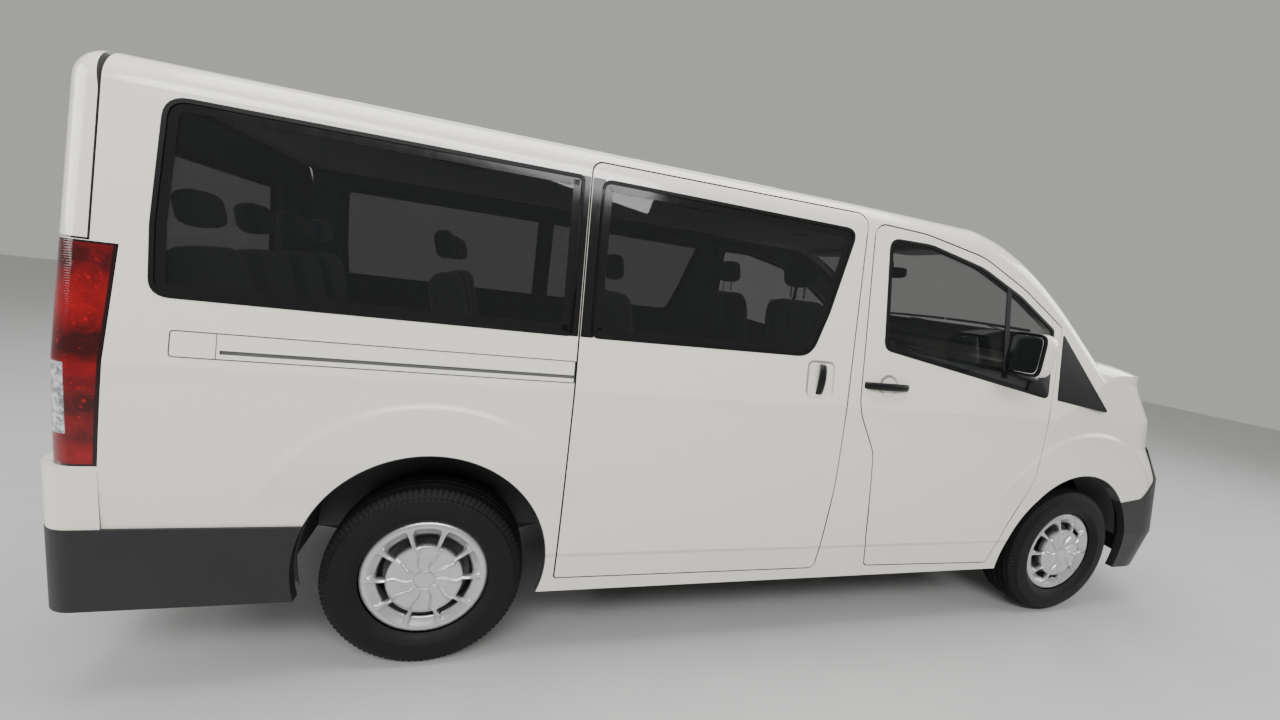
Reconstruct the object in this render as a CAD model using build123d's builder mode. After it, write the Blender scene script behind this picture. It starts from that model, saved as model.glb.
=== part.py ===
from build123d import *
import os
from math import cos, radians, sin

os.makedirs("parts", exist_ok=True)

# Passenger van in millimetres: +X to the front, +Y to its left, +Z up, the ground at Z = 0

# Axles and tyres
rear_axle_x = -1512.5
wheelbase = 3210.0
front_axle_x = rear_axle_x + wheelbase
wheel_centre_y = 830.0
tyre_radius = 350.0
tyre_width = 215.0
rim_radius = 203.0
axle_z = tyre_radius

# Body section, seen from the front: half widths and heights
sill_y = 940.0
sill_z = 290.0
crease_y = 962.0
crease_z = 458.0
flank_y = 975.0
flank_z = 780.0
waist_y = 973.0
waist_z = 1100.0
tumblehome = 0.151
roof_edge_radius = 110.0
bonnet_edge_radius = 70.0

# Ends of the body
rear_face_x = -2612.0
rear_lean = 34.0
rear_crown_radius = 7700.0
rear_corner_radius = 85.0
nose_x = 2510.0
nose_crown_radius = 1990.0
nose_taper_start_x = 1275.0

# Corners of the nose seen from above, level by level: z, corner start x, half width, corner radius
nose_corners = (
    (200.0, 2205.0, 940.0, 300.0),
    (780.0, 2205.0, 940.0, 300.0),
    (950.0, 2045.0, 934.0, 360.0),
    (1100.0, 2012.0, 930.0, 370.0),
    (1300.0, 1850.0, 926.0, 400.0),
    (2300.0, 1850.0, 926.0, 400.0),
)

# Front bumper seen from above, level by level: z, centre x, corner start x, half width, corner radius
bumper_levels = (
    (255.0, 2560.0, 2215.0, 934.0, 250.0),
    (470.0, 2632.5, 2270.0, 947.0, 250.0),
    (780.0, 2566.0, 2200.0, 944.0, 260.0),
    (948.0, 2508.0, 2045.0, 936.0, 355.0),
)
overall_rear_x = -2632.5

# The bonnet's form is this much narrower than the cab's, so that their flanks never share a face
bonnet_step = 1.0
bonnet_undercut = 8.0

# Walls, glass and gaps
wall = 50.0
seam_gap = 6.0
lip_depth = 36.0
lip_width = 18.0
seat_gap = 0.3
bumper_wall = 36.0
cladding_proud = 4.0
glass_inset = 3.0
glass_thickness = 5.0

# Floor and frame
floor_top_z = 600.0
floor_thickness = 40.0
floor_front_x = 1190.0
toe_top_x = 1250.0
shelf_z = 935.0
firewall_x = 1640.0
firewall_top_z = 1270.0
rail_y = 470.0
rail_width = 70.0
rail_height = 110.0
cross_height = 60.0
cross_members = (-2510.0, -1720.0, -900.0, 350.0, 2300.0)

# Seams of the doors, tailgate and bonnet that the body panels share
wing_seam_x = 1143.0
tailgate_seam_x = -2442.0
roof_seam_x = -2475.0
bonnet_edge_z = 1128.0
screen_rear_x = 895.0
screen_front_x = 1560.0
screen_front_y = 795.0

# Crown and shoulder heights of the top, station by station: x, crown z, shoulder z
main_stations = ((-2700.0, 1990.0, 1975.0), (100.0, 1975.0, 1957.0), (760.0, 1958.0, 1943.0))
cab_stations = (
    (760.0, 1958.0, 1943.0),
    (968.0, 1918.0, 1882.0),
    (1198.0, 1815.0, 1755.0),
    (1525.0, 1592.0, 1482.0),
    (1850.0, 1355.0, 1215.0),
)
bonnet_stations = (
    (1300.0, 1438.0, 1428.0),
    (1724.0, 1418.0, 1390.0),
    (2000.0, 1385.0, 1335.0),
    (2250.0, 1320.0, 1262.0),
    (2700.0, 1210.0, 1190.0),
)

# Side outlines: x, z, corner radius
sliding_door_corners = (
    (-1048.0, 350.0, 12.0),
    (-1048.0, 1915.0, 40.0),
    (140.0, 1912.0, 55.0),
    (112.0, 1097.0, 200.0),
    (127.0, 741.0, 300.0),
    (118.0, 344.0, 30.0),
)
front_door_corners = (
    (392.0, 345.0, 25.0),
    (355.0, 497.0, 300.0),
    (290.0, 905.0, 160.0),
    (178.0, 1095.0, 200.0),
    (178.0, 1884.0, 55.0),
    (450.0, 1874.0, 500.0),
    (790.0, 1818.0, 400.0),
    (1060.0, 1700.0, 500.0),
    (1318.0, 1548.0, 20.0),
    (1288.0, 1100.0, 300.0),
    (1297.0, 790.0, 90.0),
    (1195.0, 545.0, 300.0),
    (1140.0, 330.0, 25.0),
)
sliding_glass_corners = (
    (-1004.0, 1296.0, 30.0),
    (-1004.0, 1852.0, 35.0),
    (84.0, 1836.0, 40.0),
    (-20.0, 1480.0, 120.0),
    (-90.0, 1302.0, 90.0),
)
quarter_glass_corners = (
    (-2294.0, 1300.0, 50.0),
    (-2302.0, 1500.0, 400.0),
    (-2290.0, 1862.0, 60.0),
    (-1078.0, 1852.0, 15.0),
    (-1078.0, 1296.0, 15.0),
)
left_mid_glass_corners = (
    (-1040.0, 1296.0, 30.0),
    (-1040.0, 1852.0, 35.0),
    (84.0, 1836.0, 40.0),
    (-20.0, 1480.0, 120.0),
    (-90.0, 1302.0, 90.0),
)
front_glass_corners = (
    (282.0, 1360.0, 40.0),
    (262.0, 1826.0, 45.0),
    (480.0, 1828.0, 400.0),
    (790.0, 1766.0, 400.0),
    (1035.0, 1664.0, 500.0),
    (1262.0, 1530.0, 25.0),
    (1262.0, 1204.0, 25.0),
)
garnish_corners = (
    (1330.0, 1196.0, 8.0),
    (1330.0, 1520.0, 8.0),
    (1700.0, 1150.0, 12.0),
)

# Wheel arches: centre x, centre z, radius
rear_arch = (-1506.0, 425.0, 416.0)
front_arch = (1678.0, 348.0, 458.0)

# Lamps, bumpers and the tailgate's edges
lamp_top_z = 1432.0
lamp_bottom_z = 788.0
tailgate_bottom_z = 690.0
tailgate_half_width = 745.0
cladding_top_z = 590.0
cladding_bottom_z = 325.0
bumper_seam_x = -2412.0
front_bumper_top_z = 948.0
headlamp_inner_y = 400.0
bonnet_seam_y = 800.0
roof_seam_y = 735.0

# Number plates, tailgate window, grille and air intake
plate_pad_z = 640.0
plate_pad_width = 520.0
plate_pad_height = 120.0
plate_hole_spacing = 210.0
plate_hole_radius = 3.5
rear_plate_z = 960.0
rear_pad_x = -2606.0
rear_window_z = 1545.0
rear_window_width = 1200.0
rear_window_height = 510.0
grille_pitch_y = 124.0
grille_pitch_z = 38.0
grille_bar = 10.0
intake_z = 400.0
intake_width = 900.0
intake_height = 150.0
rail_seam = 0.5
rail_end_x = -2241.0
rail_bottom = 1127.0
rail_top = 1203.0

# Underbody: floor ends, wheel houses, suspension, engine and exhaust
floor_rear_x = -2600.0
liner_thickness = 8.0
liner_bottom_z = 440.0
house_wall_y = 680.0
front_liner_y = 712.0
rail_rear_x = -2530.0
rail_front_x = 2500.0
spare_x = -2120.0
spare_z = 440.0
eye_z = 303.0
eye_radius = 16.0
eye_thickness = 18.0
hub_radius = 30.0
hub_face_y = 820.0
kingpin_y = 760.0
strut_y = 655.0
tower_z = 862.0
subframe_z = 335.0
arm_top_z = 260.0
knuckle_top_z = 475.0
spring_reach = 650.0
spring_width = 60.0
spring_depth = 24.0
eye_height = 432.0
engine_x = 1640.0
engine_half_width = 300.0
gearbox_x = 800.0
exhaust_y = 600.0
exhaust_z = 420.0
exhaust_radius = 22.0

# Wheels
rim_half_width = 82.0
rim_wall = 12.0
disc_thickness = 14.0
fit_gap = 0.3
tread_half = 80.0
cover_radius = 221.0
cover_z = 100.0
cover_windows = 10
cap_radius = 52.0
window_inner = 134.0
window_outer = 188.0

# Seats: x of a back's foot, centre y, width, width of the legs' frame, headrests
front_seat_x = 170.0
front_seat_y = (410.0, -430.0)
seat_z = 950.0
cushion_depth = 120.0
row_seat_z = 985.0
seat_edge = 25.0
row_back_z = 1475.0
seat_rows = (
    (-760.0, 180.0, 1250.0, 900.0, (-420.0, 0.0, 420.0)),
    (-1540.0, 180.0, 1250.0, 900.0, (-420.0, 0.0, 420.0)),
    (-2290.0, 0.0, 1600.0, 1250.0, (-600.0, -200.0, 200.0, 600.0)),
)

# Dashboard, steering wheel and mirrors
dash_half_width = 870.0
steering_centre = (955.0, 400.0, 1165.0)
steering_tilt = 38.0
steering_radius = 185.0
column_gap = 36.0
rim_grip = 15.0
mirror_x = 930.0
mirror_y = 1072.0
mirror_z = 1412.0
mirror_foot = (1130.0, -935.0, 1178.0)


def mirrored(shape):
    """the same shape on the other side of the van"""
    return shape.mirror(Plane.XZ)


def joined(*shapes):
    """one shape from several that touch or overlap"""
    with BuildPart() as whole:
        for shape in shapes:
            add(shape)
    return whole.part


def cut_piece(base, keep=(), remove=()):
    """the part of a base inside every block kept and outside every block removed"""
    with BuildPart() as piece:
        add(base)
        for block in keep:
            add(block, mode=Mode.INTERSECT)
        for block in remove:
            add(block, mode=Mode.SUBTRACT)
    return piece.part


def save(part, name):
    """label a piece and write its file"""
    part.label = name
    export_step(part, f"parts/{name}.step")


def outline(plane, corners, grow=0.0):
    """face with rounded corners, grown by a margin"""
    with BuildSketch(plane) as face:
        with BuildLine():
            FilletPolyline(*[(c[0], c[1]) for c in corners], radius=[c[2] for c in corners], close=True)
        make_face()
        if grow:
            offset(amount=grow, kind=Kind.INTERSECTION, mode=Mode.REPLACE)
    return face.sketch


def side_block(corners, grow=0.0, inner_y=500.0, outer_y=1200.0):
    """side outline carried through the right wall of the body"""
    with BuildPart() as block:
        extrude(outline(Plane.XZ.offset(inner_y), corners, grow), amount=outer_y - inner_y)
    return block.part


def box_between(x, y, z):
    """block between pairs of limits along each axis"""
    with BuildPart() as block:
        with Locations(((x[0] + x[1]) / 2, (y[0] + y[1]) / 2, (z[0] + z[1]) / 2)):
            Box(x[1] - x[0], y[1] - y[0], z[1] - z[0])
    return block.part


def body_section(x, crown_z, shoulder_z, inset, narrower=0.0):
    """cross section of the body: sill, flank, tumblehome, roof edge and crown"""
    sill, crease, flank, waist = [y - narrower for y in (sill_y, crease_y, flank_y, waist_y)]
    shoulder_y = waist - tumblehome * (shoulder_z - waist_z)
    edge_radius = roof_edge_radius if shoulder_z > 1450.0 else bonnet_edge_radius
    with BuildSketch(Plane.YZ.offset(x)) as face:
        with BuildLine():
            Polyline((-crease, crease_z), (-sill, sill_z), (sill, sill_z), (crease, crease_z))
            ThreePointArc((crease, crease_z), (flank, flank_z), (waist, waist_z))
            Line((waist, waist_z), (shoulder_y, shoulder_z))
            ThreePointArc((shoulder_y, shoulder_z), (0, crown_z), (-shoulder_y, shoulder_z))
            Line((-shoulder_y, shoulder_z), (-waist, waist_z))
            ThreePointArc((-waist, waist_z), (-flank, flank_z), (-crease, crease_z))
        make_face()
        fillet([v for v in face.vertices() if abs(abs(v.X) - shoulder_y) < 0.5], edge_radius)
        if inset:
            offset(amount=-inset, mode=Mode.REPLACE)
    return face.sketch


def nose_cut(inset):
    """what lies in front of the crowned, rounded nose"""
    centre_x = nose_x - nose_crown_radius
    face = nose_crown_radius - inset
    with BuildPart() as cut:
        with Locations((2050, 0, 1200)):
            Box(1700, 2400, 2200)
        with BuildSketch(Plane.XZ.move(Location((centre_x, 0, 0)))):
            with BuildLine():
                Polyline((0, 2400), (0, 50), (-face, 50), (-face, 930))
                ThreePointArc((-face, 930), (52 - face, 1118), (245 - face, 1314 - inset))
                Polyline((245 - face, 1314 - inset), (700 - face, 1700), (700 - face, 2400), (0, 2400))
            make_face()
        revolve(axis=Axis((centre_x, 0, 0), (0, 0, 1)), mode=Mode.SUBTRACT)
    return cut.part


def corner_outline(z, start_x, half_width, radius, inset):
    """the nose seen from above at one level: taper, corners and straight runs beyond them"""
    side_y = flank_y + 1 - inset
    with BuildSketch(Plane.XY.offset(z)) as face:
        with BuildLine():
            Line((1000, side_y), (nose_taper_start_x, side_y))
            taper = Line((nose_taper_start_x, side_y), (start_x, half_width - inset))
            corner = JernArc(taper @ 1, taper % 1, radius - inset, -67)
            run = Line(corner @ 1, corner @ 1 + (corner % 1) * 450)
            Line(run @ 1, ((run @ 1).X, -(run @ 1).Y))
            mirror(run.edge(), about=Plane.XZ)
            mirror(corner.edge(), about=Plane.XZ)
            mirror(taper.edge(), about=Plane.XZ)
            Polyline((nose_taper_start_x, -side_y), (1000, -side_y), (1000, side_y))
        make_face()
    return face.sketch


def corner_cut(inset):
    """what lies outside the taper and corners of the nose, seen from above"""
    with BuildPart() as cut:
        with Locations((2100, 0, 1200)):
            Box(1840, 2400, 1900)
        loft([corner_outline(*level, inset) for level in nose_corners], ruled=True, mode=Mode.SUBTRACT)
    return cut.part


def rear_cut(inset):
    """what lies behind the crowned rear face, which leans forward"""
    centre_x = rear_face_x + rear_crown_radius
    face = rear_crown_radius - inset
    with BuildPart() as cut:
        with Locations((-2650, 0, 1200)):
            Box(700, 2400, 2200)
        with BuildSketch(Plane.XZ.move(Location((centre_x, 0, 0)))):
            with BuildLine():
                Polyline(
                    (face, 300), (face - 900, 300), (face - 900, 2100), (face - rear_lean, 2100), close=True
                )
            make_face()
        revolve(axis=Axis((centre_x, 0, 0), (0, 0, 1)), mode=Mode.SUBTRACT)
    return cut.part


def body_form(inset, rear_radius=0.0):
    """closed form of the whole body at a depth below its skin"""
    with BuildPart() as form:
        loft([body_section(*station, inset) for station in main_stations], ruled=True)
        loft([body_section(*station, inset) for station in cab_stations])
        loft([body_section(*station, inset, bonnet_step) for station in bonnet_stations])
        add(nose_cut(inset), mode=Mode.SUBTRACT)
        add(corner_cut(inset), mode=Mode.SUBTRACT)
        add(rear_cut(inset), mode=Mode.SUBTRACT)
        if rear_radius:
            fillet([e for e in form.edges() if e.bounding_box().max.X < rear_face_x + 150], rear_radius)
    return form.part


outer_form = body_form(0.0, rear_corner_radius)
inner_form = body_form(wall, rear_corner_radius - wall)
lip_form = body_form(lip_depth)
leaf_form = body_form(lip_depth - seat_gap)
glass_outer_form = body_form(glass_inset)
glass_inner_form = body_form(glass_inset + glass_thickness)
shell = cut_piece(outer_form, remove=(inner_form, box_between((-2700, 2700), (-905, 905), (200, 400))))
half_gap = seam_gap / 2


def leaf(block_at):
    """a door or lid cut from the shell, its rim stepped to close on the lip of its opening"""
    rim = cut_piece(block_at(-half_gap), remove=(block_at(-half_gap - lip_width - seam_gap),))
    return cut_piece(shell, keep=(block_at(-half_gap),), remove=(cut_piece(leaf_form, keep=(rim,)),))


def opening(block_at):
    """what a door or lid takes out of its neighbours, which keep a lip behind it"""
    outer = cut_piece(block_at(half_gap), remove=(lip_form,))
    return joined(outer, block_at(-half_gap - lip_width))


def pane(block):
    """curved glass that fills a block of the skin"""
    return cut_piece(block, keep=(glass_outer_form,), remove=(glass_inner_form,))


def sliding_block(grow):
    """side outline of the sliding door"""
    return side_block(sliding_door_corners, grow)


def front_door_block(grow):
    """side outline of a front door"""
    return side_block(front_door_corners, grow)


def tailgate_block(grow):
    """all that lies behind the tailgate's seams: its wrapped top and the part between the lamps"""
    seam_x = tailgate_seam_x + grow
    side_corners = (
        (-2750, lamp_top_z + 5 - grow),
        (seam_x, lamp_top_z + 5 - grow),
        (seam_x, 1850),
        (roof_seam_x + grow, 2100),
        (-2750, 2100),
    )
    with BuildPart() as block:
        with BuildSketch(Plane.XZ):
            Polygon(*side_corners, align=None)
        extrude(amount=1100, both=True)
        with BuildSketch(Plane.YZ.offset(seam_x)):
            with Locations((0, (tailgate_bottom_z - grow + 1500) / 2)):
                Rectangle(2 * (tailgate_half_width + grow), 1500 - tailgate_bottom_z + grow)
        extrude(amount=-300)
    return block.part


def rear_window_block(grow):
    """rounded outline of the tailgate's window"""
    with BuildPart() as block:
        with BuildSketch(Plane.YZ.offset(-2450)):
            with Locations((0, rear_window_z)):
                RectangleRounded(rear_window_width + 2 * grow, rear_window_height + 2 * grow, 60 + grow)
        extrude(amount=-300)
    return block.part


def bonnet_block(grow):
    """the bonnet seen from above, down to its front edge"""
    side = bonnet_seam_y + grow
    tip = headlamp_inner_y + 28 + grow
    with BuildPart() as block:
        with BuildSketch(Plane.XY.offset(bonnet_edge_z - grow)):
            with BuildLine():
                ThreePointArc((1642 - grow, side), (1808 - grow, 0), (1642 - grow, -side))
                Polyline((1642 - grow, -side), (2085, -side + 14), (2432, -tip), (2800, -tip + 48))
                Line((2800, -tip + 48), (2800, tip - 48))
                Polyline((2800, tip - 48), (2432, tip), (2085, side - 14), (1642 - grow, side))
            make_face()
        extrude(amount=700)
    return block.part


def windscreen_block(grow):
    """the windscreen seen from above"""
    front_x, rear_x = screen_front_x + grow, screen_rear_x - grow
    front_y, rear_y = screen_front_y + grow, roof_seam_y + grow
    with BuildPart() as block:
        with BuildSketch(Plane.XY.offset(1200)):
            with BuildLine():
                ThreePointArc((front_x, front_y), (front_x + 162, 0), (front_x, -front_y))
                Line((front_x, -front_y), (rear_x, -rear_y))
                ThreePointArc((rear_x, -rear_y), (rear_x + 27, 0), (rear_x, rear_y))
                Line((rear_x, rear_y), (front_x, front_y))
            make_face()
        extrude(amount=800)
    return block.part


def headlamp_block(grow):
    """side outline of the right headlamp, from its inner end round the corner"""
    bottom_z = front_bumper_top_z
    corners = ((1985, 1262), (2325, bottom_z), (2800, bottom_z), (2800, 1400), (1985, 1400))
    with BuildPart() as block:
        with BuildSketch(Plane.XZ.offset(headlamp_inner_y - grow)):
            Polygon(*corners, align=None)
            offset(amount=grow, kind=Kind.INTERSECTION, mode=Mode.REPLACE)
        extrude(amount=650)
    return block.part


def front_bumper_block(grow):
    """side outline of all that belongs to the front bumper"""
    corners = (
        (1800.0, 150.0, 0.0),
        (1800.0, 650.0, 0.0),
        (2040.0, 655.0, 0.0),
        (2190.0, 672.0, 60.0),
        (2265.0, 770.0, 60.0),
        (2207.0, front_bumper_top_z, 0.0),
        (2800.0, front_bumper_top_z, 0.0),
        (2800.0, 150.0, 0.0),
    )
    with BuildPart() as block:
        extrude(outline(Plane.XZ, corners, grow), amount=1100, both=True)
    return block.part


def arch_block(arch):
    """round wheel arch through both walls"""
    with BuildPart() as block:
        with BuildSketch(Plane.XZ):
            with Locations((arch[0], arch[1])):
                Circle(arch[2])
        extrude(amount=1100, both=True)
    return block.part


def pillar_block():
    """side outline of the right front pillar, ahead of the door"""
    rear_x = wing_seam_x - 200
    corners = ((rear_x, 1215), (1330, 1196), (1712, 1142), (1760, 1330), (1760, 2000), (rear_x, 2000))
    with BuildPart() as block:
        with BuildSketch(Plane.XZ.offset(roof_seam_y)):
            Polygon(*corners, align=None)
        extrude(amount=400)
    return block.part


# Sliding door, with its window
sliding_window = side_block(sliding_glass_corners)
sliding_door = cut_piece(leaf(sliding_block), remove=(sliding_window,))
save(sliding_door, "sliding_door")

# Front doors
front_door = cut_piece(leaf(front_door_block), remove=(side_block(front_glass_corners),))
save(front_door, "front_door_right")
save(mirrored(front_door), "front_door_left")

# Body sides: quarter panel, sill, pillars and the openings of the doors
rear_arch_cut = arch_block(rear_arch)
front_arch_cut = arch_block(front_arch)
front_opening = opening(front_door_block)
hinge_zone = box_between((1080, 1400), (-1100, -500), (250, 1650))
hinge_side = cut_piece(front_door_block(half_gap), keep=(hinge_zone,))
pillar = pillar_block()
cowl_zone = box_between((screen_front_x, 1850), (-screen_front_y, screen_front_y), (1150, 1600))
lamp_corners = ((-2373, lamp_top_z), (-2412, lamp_bottom_z), (-2750, lamp_bottom_z), (-2750, lamp_top_z))
with BuildPart() as lamp_pocket:
    with BuildSketch(Plane.XZ.offset(tailgate_half_width)):
        Polygon(*lamp_corners, align=None)
    extrude(amount=400)
rear_pockets = cut_piece(
    joined(
        lamp_pocket.part,
        box_between((-2750, bumper_seam_x), (-1100, -600), (cladding_top_z - 1, lamp_bottom_z)),
        box_between((-2750, rear_arch[0]), (-1100, -600), (100, cladding_top_z)),
    ),
    remove=(lip_form,),
)
quarter_zone = joined(
    box_between((tailgate_seam_x + half_gap, wing_seam_x), (-1100, -roof_seam_y), (250, 2100)),
    box_between((-2700, tailgate_seam_x + half_gap), (-1100, -tailgate_half_width + 25), (250, 1500)),
    pillar,
)
tailgate_opening = opening(tailgate_block)
screen_opening = windscreen_block(0.0)
side_common = cut_piece(
    shell,
    keep=(quarter_zone,),
    remove=(
        front_opening,
        hinge_side,
        rear_arch_cut,
        tailgate_opening,
        screen_opening,
        bonnet_block(half_gap),
        cowl_zone,
        rear_pockets,
        box_between((-2750, rear_arch[0]), (-1100, -600), (100, cladding_bottom_z + 15)),
        side_block(quarter_glass_corners),
        side_block(garnish_corners),
    ),
)
rail_zone = box_between((rail_end_x, -1040), (-1100, -850), (rail_bottom, rail_top))
save(cut_piece(side_common, remove=(rail_zone, opening(sliding_block))), "body_side_right")
save(mirrored(cut_piece(side_common, remove=(side_block(left_mid_glass_corners),))), "body_side_left")

# Cover of the sliding door's rail, with its slot
cover_zone = box_between(
    (rail_end_x + rail_seam, sliding_door_corners[0][0] - seam_gap),
    (-1100, -850),
    (rail_bottom + rail_seam, rail_top - rail_seam),
)
rail_slot = box_between((-2117, -1000), (-1100, -waist_y + 14), (1142, 1154))
save(cut_piece(shell, keep=(cover_zone,), remove=(rail_slot,)), "rail_cover")

# Side glass and the dark corners ahead of the front windows
pane_outlines = (sliding_glass_corners, quarter_glass_corners, garnish_corners)
side_panes = [pane(side_block(corners, -seat_gap)) for corners in pane_outlines]
left_panes = [mirrored(side_panes[1]), mirrored(side_panes[2])]
left_mid_pane = mirrored(pane(side_block(left_mid_glass_corners, -seat_gap)))
save(Compound([*side_panes, *left_panes, left_mid_pane]), "side_windows")
front_pane = pane(side_block(front_glass_corners, -seat_gap))
save(front_pane, "door_window_right")
save(mirrored(front_pane), "door_window_left")

# Roof between the side seams, from the tailgate to the windscreen
roof_zone = box_between((-2600, 1100), (-roof_seam_y + seat_gap, roof_seam_y - seat_gap), (1600, 2100))
save(cut_piece(shell, keep=(roof_zone,), remove=(tailgate_opening, screen_opening)), "roof_panel")

# Windscreen, and the cowl between it and the bonnet
save(pane(windscreen_block(-seat_gap)), "windscreen")
cowl_inset = box_between(
    (screen_front_x, 1850), (-screen_front_y + seat_gap, screen_front_y - seat_gap), (1150, 1600)
)
bonnet_opening = opening(bonnet_block)
save(cut_piece(shell, keep=(cowl_inset,), remove=(screen_opening, bonnet_opening)), "cowl_panel")

# Bonnet, its edge undercut to swing up past the lamps; then wings, headlamps and grille
bonnet_rim = cut_piece(
    glass_inner_form,
    keep=(bonnet_block(-half_gap + 1),),
    remove=(bonnet_block(-half_gap - bonnet_undercut),),
)
save(cut_piece(leaf(bonnet_block), remove=(bonnet_rim,)), "bonnet")
wing_zone = box_between((wing_seam_x + seat_gap, 2700), (-1100, -headlamp_inner_y), (250, 1600))
wing = cut_piece(
    shell,
    keep=(wing_zone,),
    remove=(
        pillar,
        cowl_zone,
        front_arch_cut,
        front_opening,
        hinge_side,
        bonnet_opening,
        headlamp_block(0.0),
        front_bumper_block(0.0),
        screen_opening,
    ),
)
save(Compound([wing, mirrored(wing)]), "front_wings")
headlamp = cut_piece(shell, keep=(headlamp_block(-seat_gap),), remove=(bonnet_opening,))
save(Compound([headlamp, mirrored(headlamp)]), "headlamps")
with BuildPart() as grille:
    add(shell)
    add(
        box_between(
            (2300, 2700),
            (-headlamp_inner_y, headlamp_inner_y),
            (front_bumper_top_z + seat_gap, bonnet_edge_z + 30),
        ),
        mode=Mode.INTERSECT,
    )
    add(bonnet_opening, mode=Mode.SUBTRACT)
    with BuildSketch(Plane.YZ.offset(2300)):
        with Locations((0, (front_bumper_top_z + bonnet_edge_z) / 2 - 8)):
            with GridLocations(grille_pitch_y, grille_pitch_z, 6, 4):
                RectangleRounded(grille_pitch_y - grille_bar, grille_pitch_z - grille_bar, 4)
    extrude(amount=400, mode=Mode.SUBTRACT)
save(grille.part, "grille")


def bumper_outline(z, centre_x, start_x, half_width, radius, inset):
    """the front bumper seen from above at one level"""
    with BuildSketch(Plane.XY.offset(z)) as face:
        with BuildLine():
            side = Line((1900, half_width - inset), (start_x, half_width - inset))
            corner = JernArc(side @ 1, side % 1, radius - inset, -75)
            front = corner @ 1
            ThreePointArc(front, (centre_x - inset, 0), (front.X, -front.Y))
            mirror(corner.edge(), about=Plane.XZ)
            mirror(side.edge(), about=Plane.XZ)
            Line((1900, -half_width + inset), (1900, half_width - inset))
        make_face()
    return face.sketch


# Front bumper, a hollow moulding with an air intake and a pad for the number plate
with BuildPart() as front_bumper:
    loft([bumper_outline(*level, 0.0) for level in bumper_levels], ruled=True)
    with Locations((2580, 0, plate_pad_z)):
        Box(64, plate_pad_width, plate_pad_height)
    loft([bumper_outline(*level, bumper_wall) for level in bumper_levels], ruled=True, mode=Mode.SUBTRACT)
    add(front_bumper_block(-seat_gap), mode=Mode.INTERSECT)
    add(front_arch_cut, mode=Mode.SUBTRACT)
    with BuildSketch(Plane.YZ.offset(2400)):
        with Locations((0, intake_z)):
            with GridLocations(0, intake_height / 3, 1, 3):
                RectangleRounded(intake_width, intake_height / 3 - grille_bar, 10)
    extrude(amount=400, mode=Mode.SUBTRACT)
    with Locations(Plane((2612, 0, plate_pad_z), x_dir=(0, 1, 0), z_dir=(1, 0, 0))):
        with GridLocations(plate_hole_spacing, 0, 2, 1):
            Hole(plate_hole_radius, depth=20)
save(front_bumper.part, "front_bumper")

# Tailgate, its glass and the pad for the rear number plate
with BuildPart() as tailgate:
    add(leaf(tailgate_block))
    with Locations((rear_pad_x + 12, 0, rear_plate_z)):
        Box(24, plate_pad_width, plate_pad_height)
    add(rear_window_block(0.0), mode=Mode.SUBTRACT)
    with Locations(Plane((rear_pad_x, 0, rear_plate_z), x_dir=(0, -1, 0), z_dir=(-1, 0, 0))):
        with GridLocations(plate_hole_spacing, 0, 2, 1):
            Hole(plate_hole_radius, depth=20)
save(tailgate.part, "tailgate")
save(pane(rear_window_block(-seat_gap)), "tailgate_window")

# Tail lamps, one in the pocket behind each quarter panel
with BuildPart() as lamp_zone:
    with BuildSketch(Plane.XZ.offset(tailgate_half_width + seam_gap)):
        Polygon(*lamp_corners, align=None)
        offset(amount=-seat_gap, kind=Kind.INTERSECTION, mode=Mode.REPLACE)
    extrude(amount=400)
tail_lamp = cut_piece(shell, keep=(lamp_zone.part,), remove=(leaf_form,))
save(Compound([tail_lamp, mirrored(tail_lamp)]), "tail_lamps")


def rear_plan(z, half_width, rear_x, corner_radius):
    """the rear bumper seen from above: flanks, corners and crowned rear edge"""
    corner_x = rear_x + half_width**2 / 2 / rear_crown_radius
    with BuildSketch(Plane.XY.offset(z)) as face:
        with BuildLine():
            ThreePointArc((corner_x, half_width), (rear_x, 0), (corner_x, -half_width))
            Line((corner_x, -half_width), (-1000, -half_width))
            Line((-1000, -half_width), (-1000, half_width))
            Line((-1000, half_width), (corner_x, half_width))
        make_face()
        fillet([v for v in face.vertices() if v.X < -1100], corner_radius)
    return face.sketch


# Rear bumper in body colour, and the dark cladding below it that runs on to the arches
bumper_half_width = flank_y + seat_gap
with BuildPart() as rear_bumper:
    bumper_plan = rear_plan(cladding_top_z, bumper_half_width, overall_rear_x, 90.0)
    extrude(bumper_plan, amount=lamp_bottom_z - seat_gap - cladding_top_z)
    extrude(
        rear_plan(cladding_top_z, bumper_half_width - bumper_wall, overall_rear_x + bumper_wall, 6.0),
        amount=300,
        mode=Mode.SUBTRACT,
    )
    add(box_between((bumper_seam_x - seat_gap, -900), (-1100, 1100), (500, 900)), mode=Mode.SUBTRACT)
    add(
        box_between(
            (-2750, -2300),
            (-tailgate_half_width - seam_gap, tailgate_half_width + seam_gap),
            (tailgate_bottom_z - seam_gap, 900),
        ),
        mode=Mode.SUBTRACT,
    )
save(rear_bumper.part, "rear_bumper")
with BuildPart() as cladding:
    extrude(
        rear_plan(cladding_bottom_z, bumper_half_width + cladding_proud, overall_rear_x, 92.0),
        amount=cladding_top_z - cladding_bottom_z,
    )
    extrude(
        rear_plan(cladding_bottom_z, bumper_half_width - bumper_wall, overall_rear_x + bumper_wall, 6.0),
        amount=300,
        mode=Mode.SUBTRACT,
    )
    add(box_between((rear_arch[0], -900), (-1100, 1100), (300, 900)), mode=Mode.SUBTRACT)
    add(rear_arch_cut, mode=Mode.SUBTRACT)
save(cladding.part, "rear_cladding")


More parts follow.
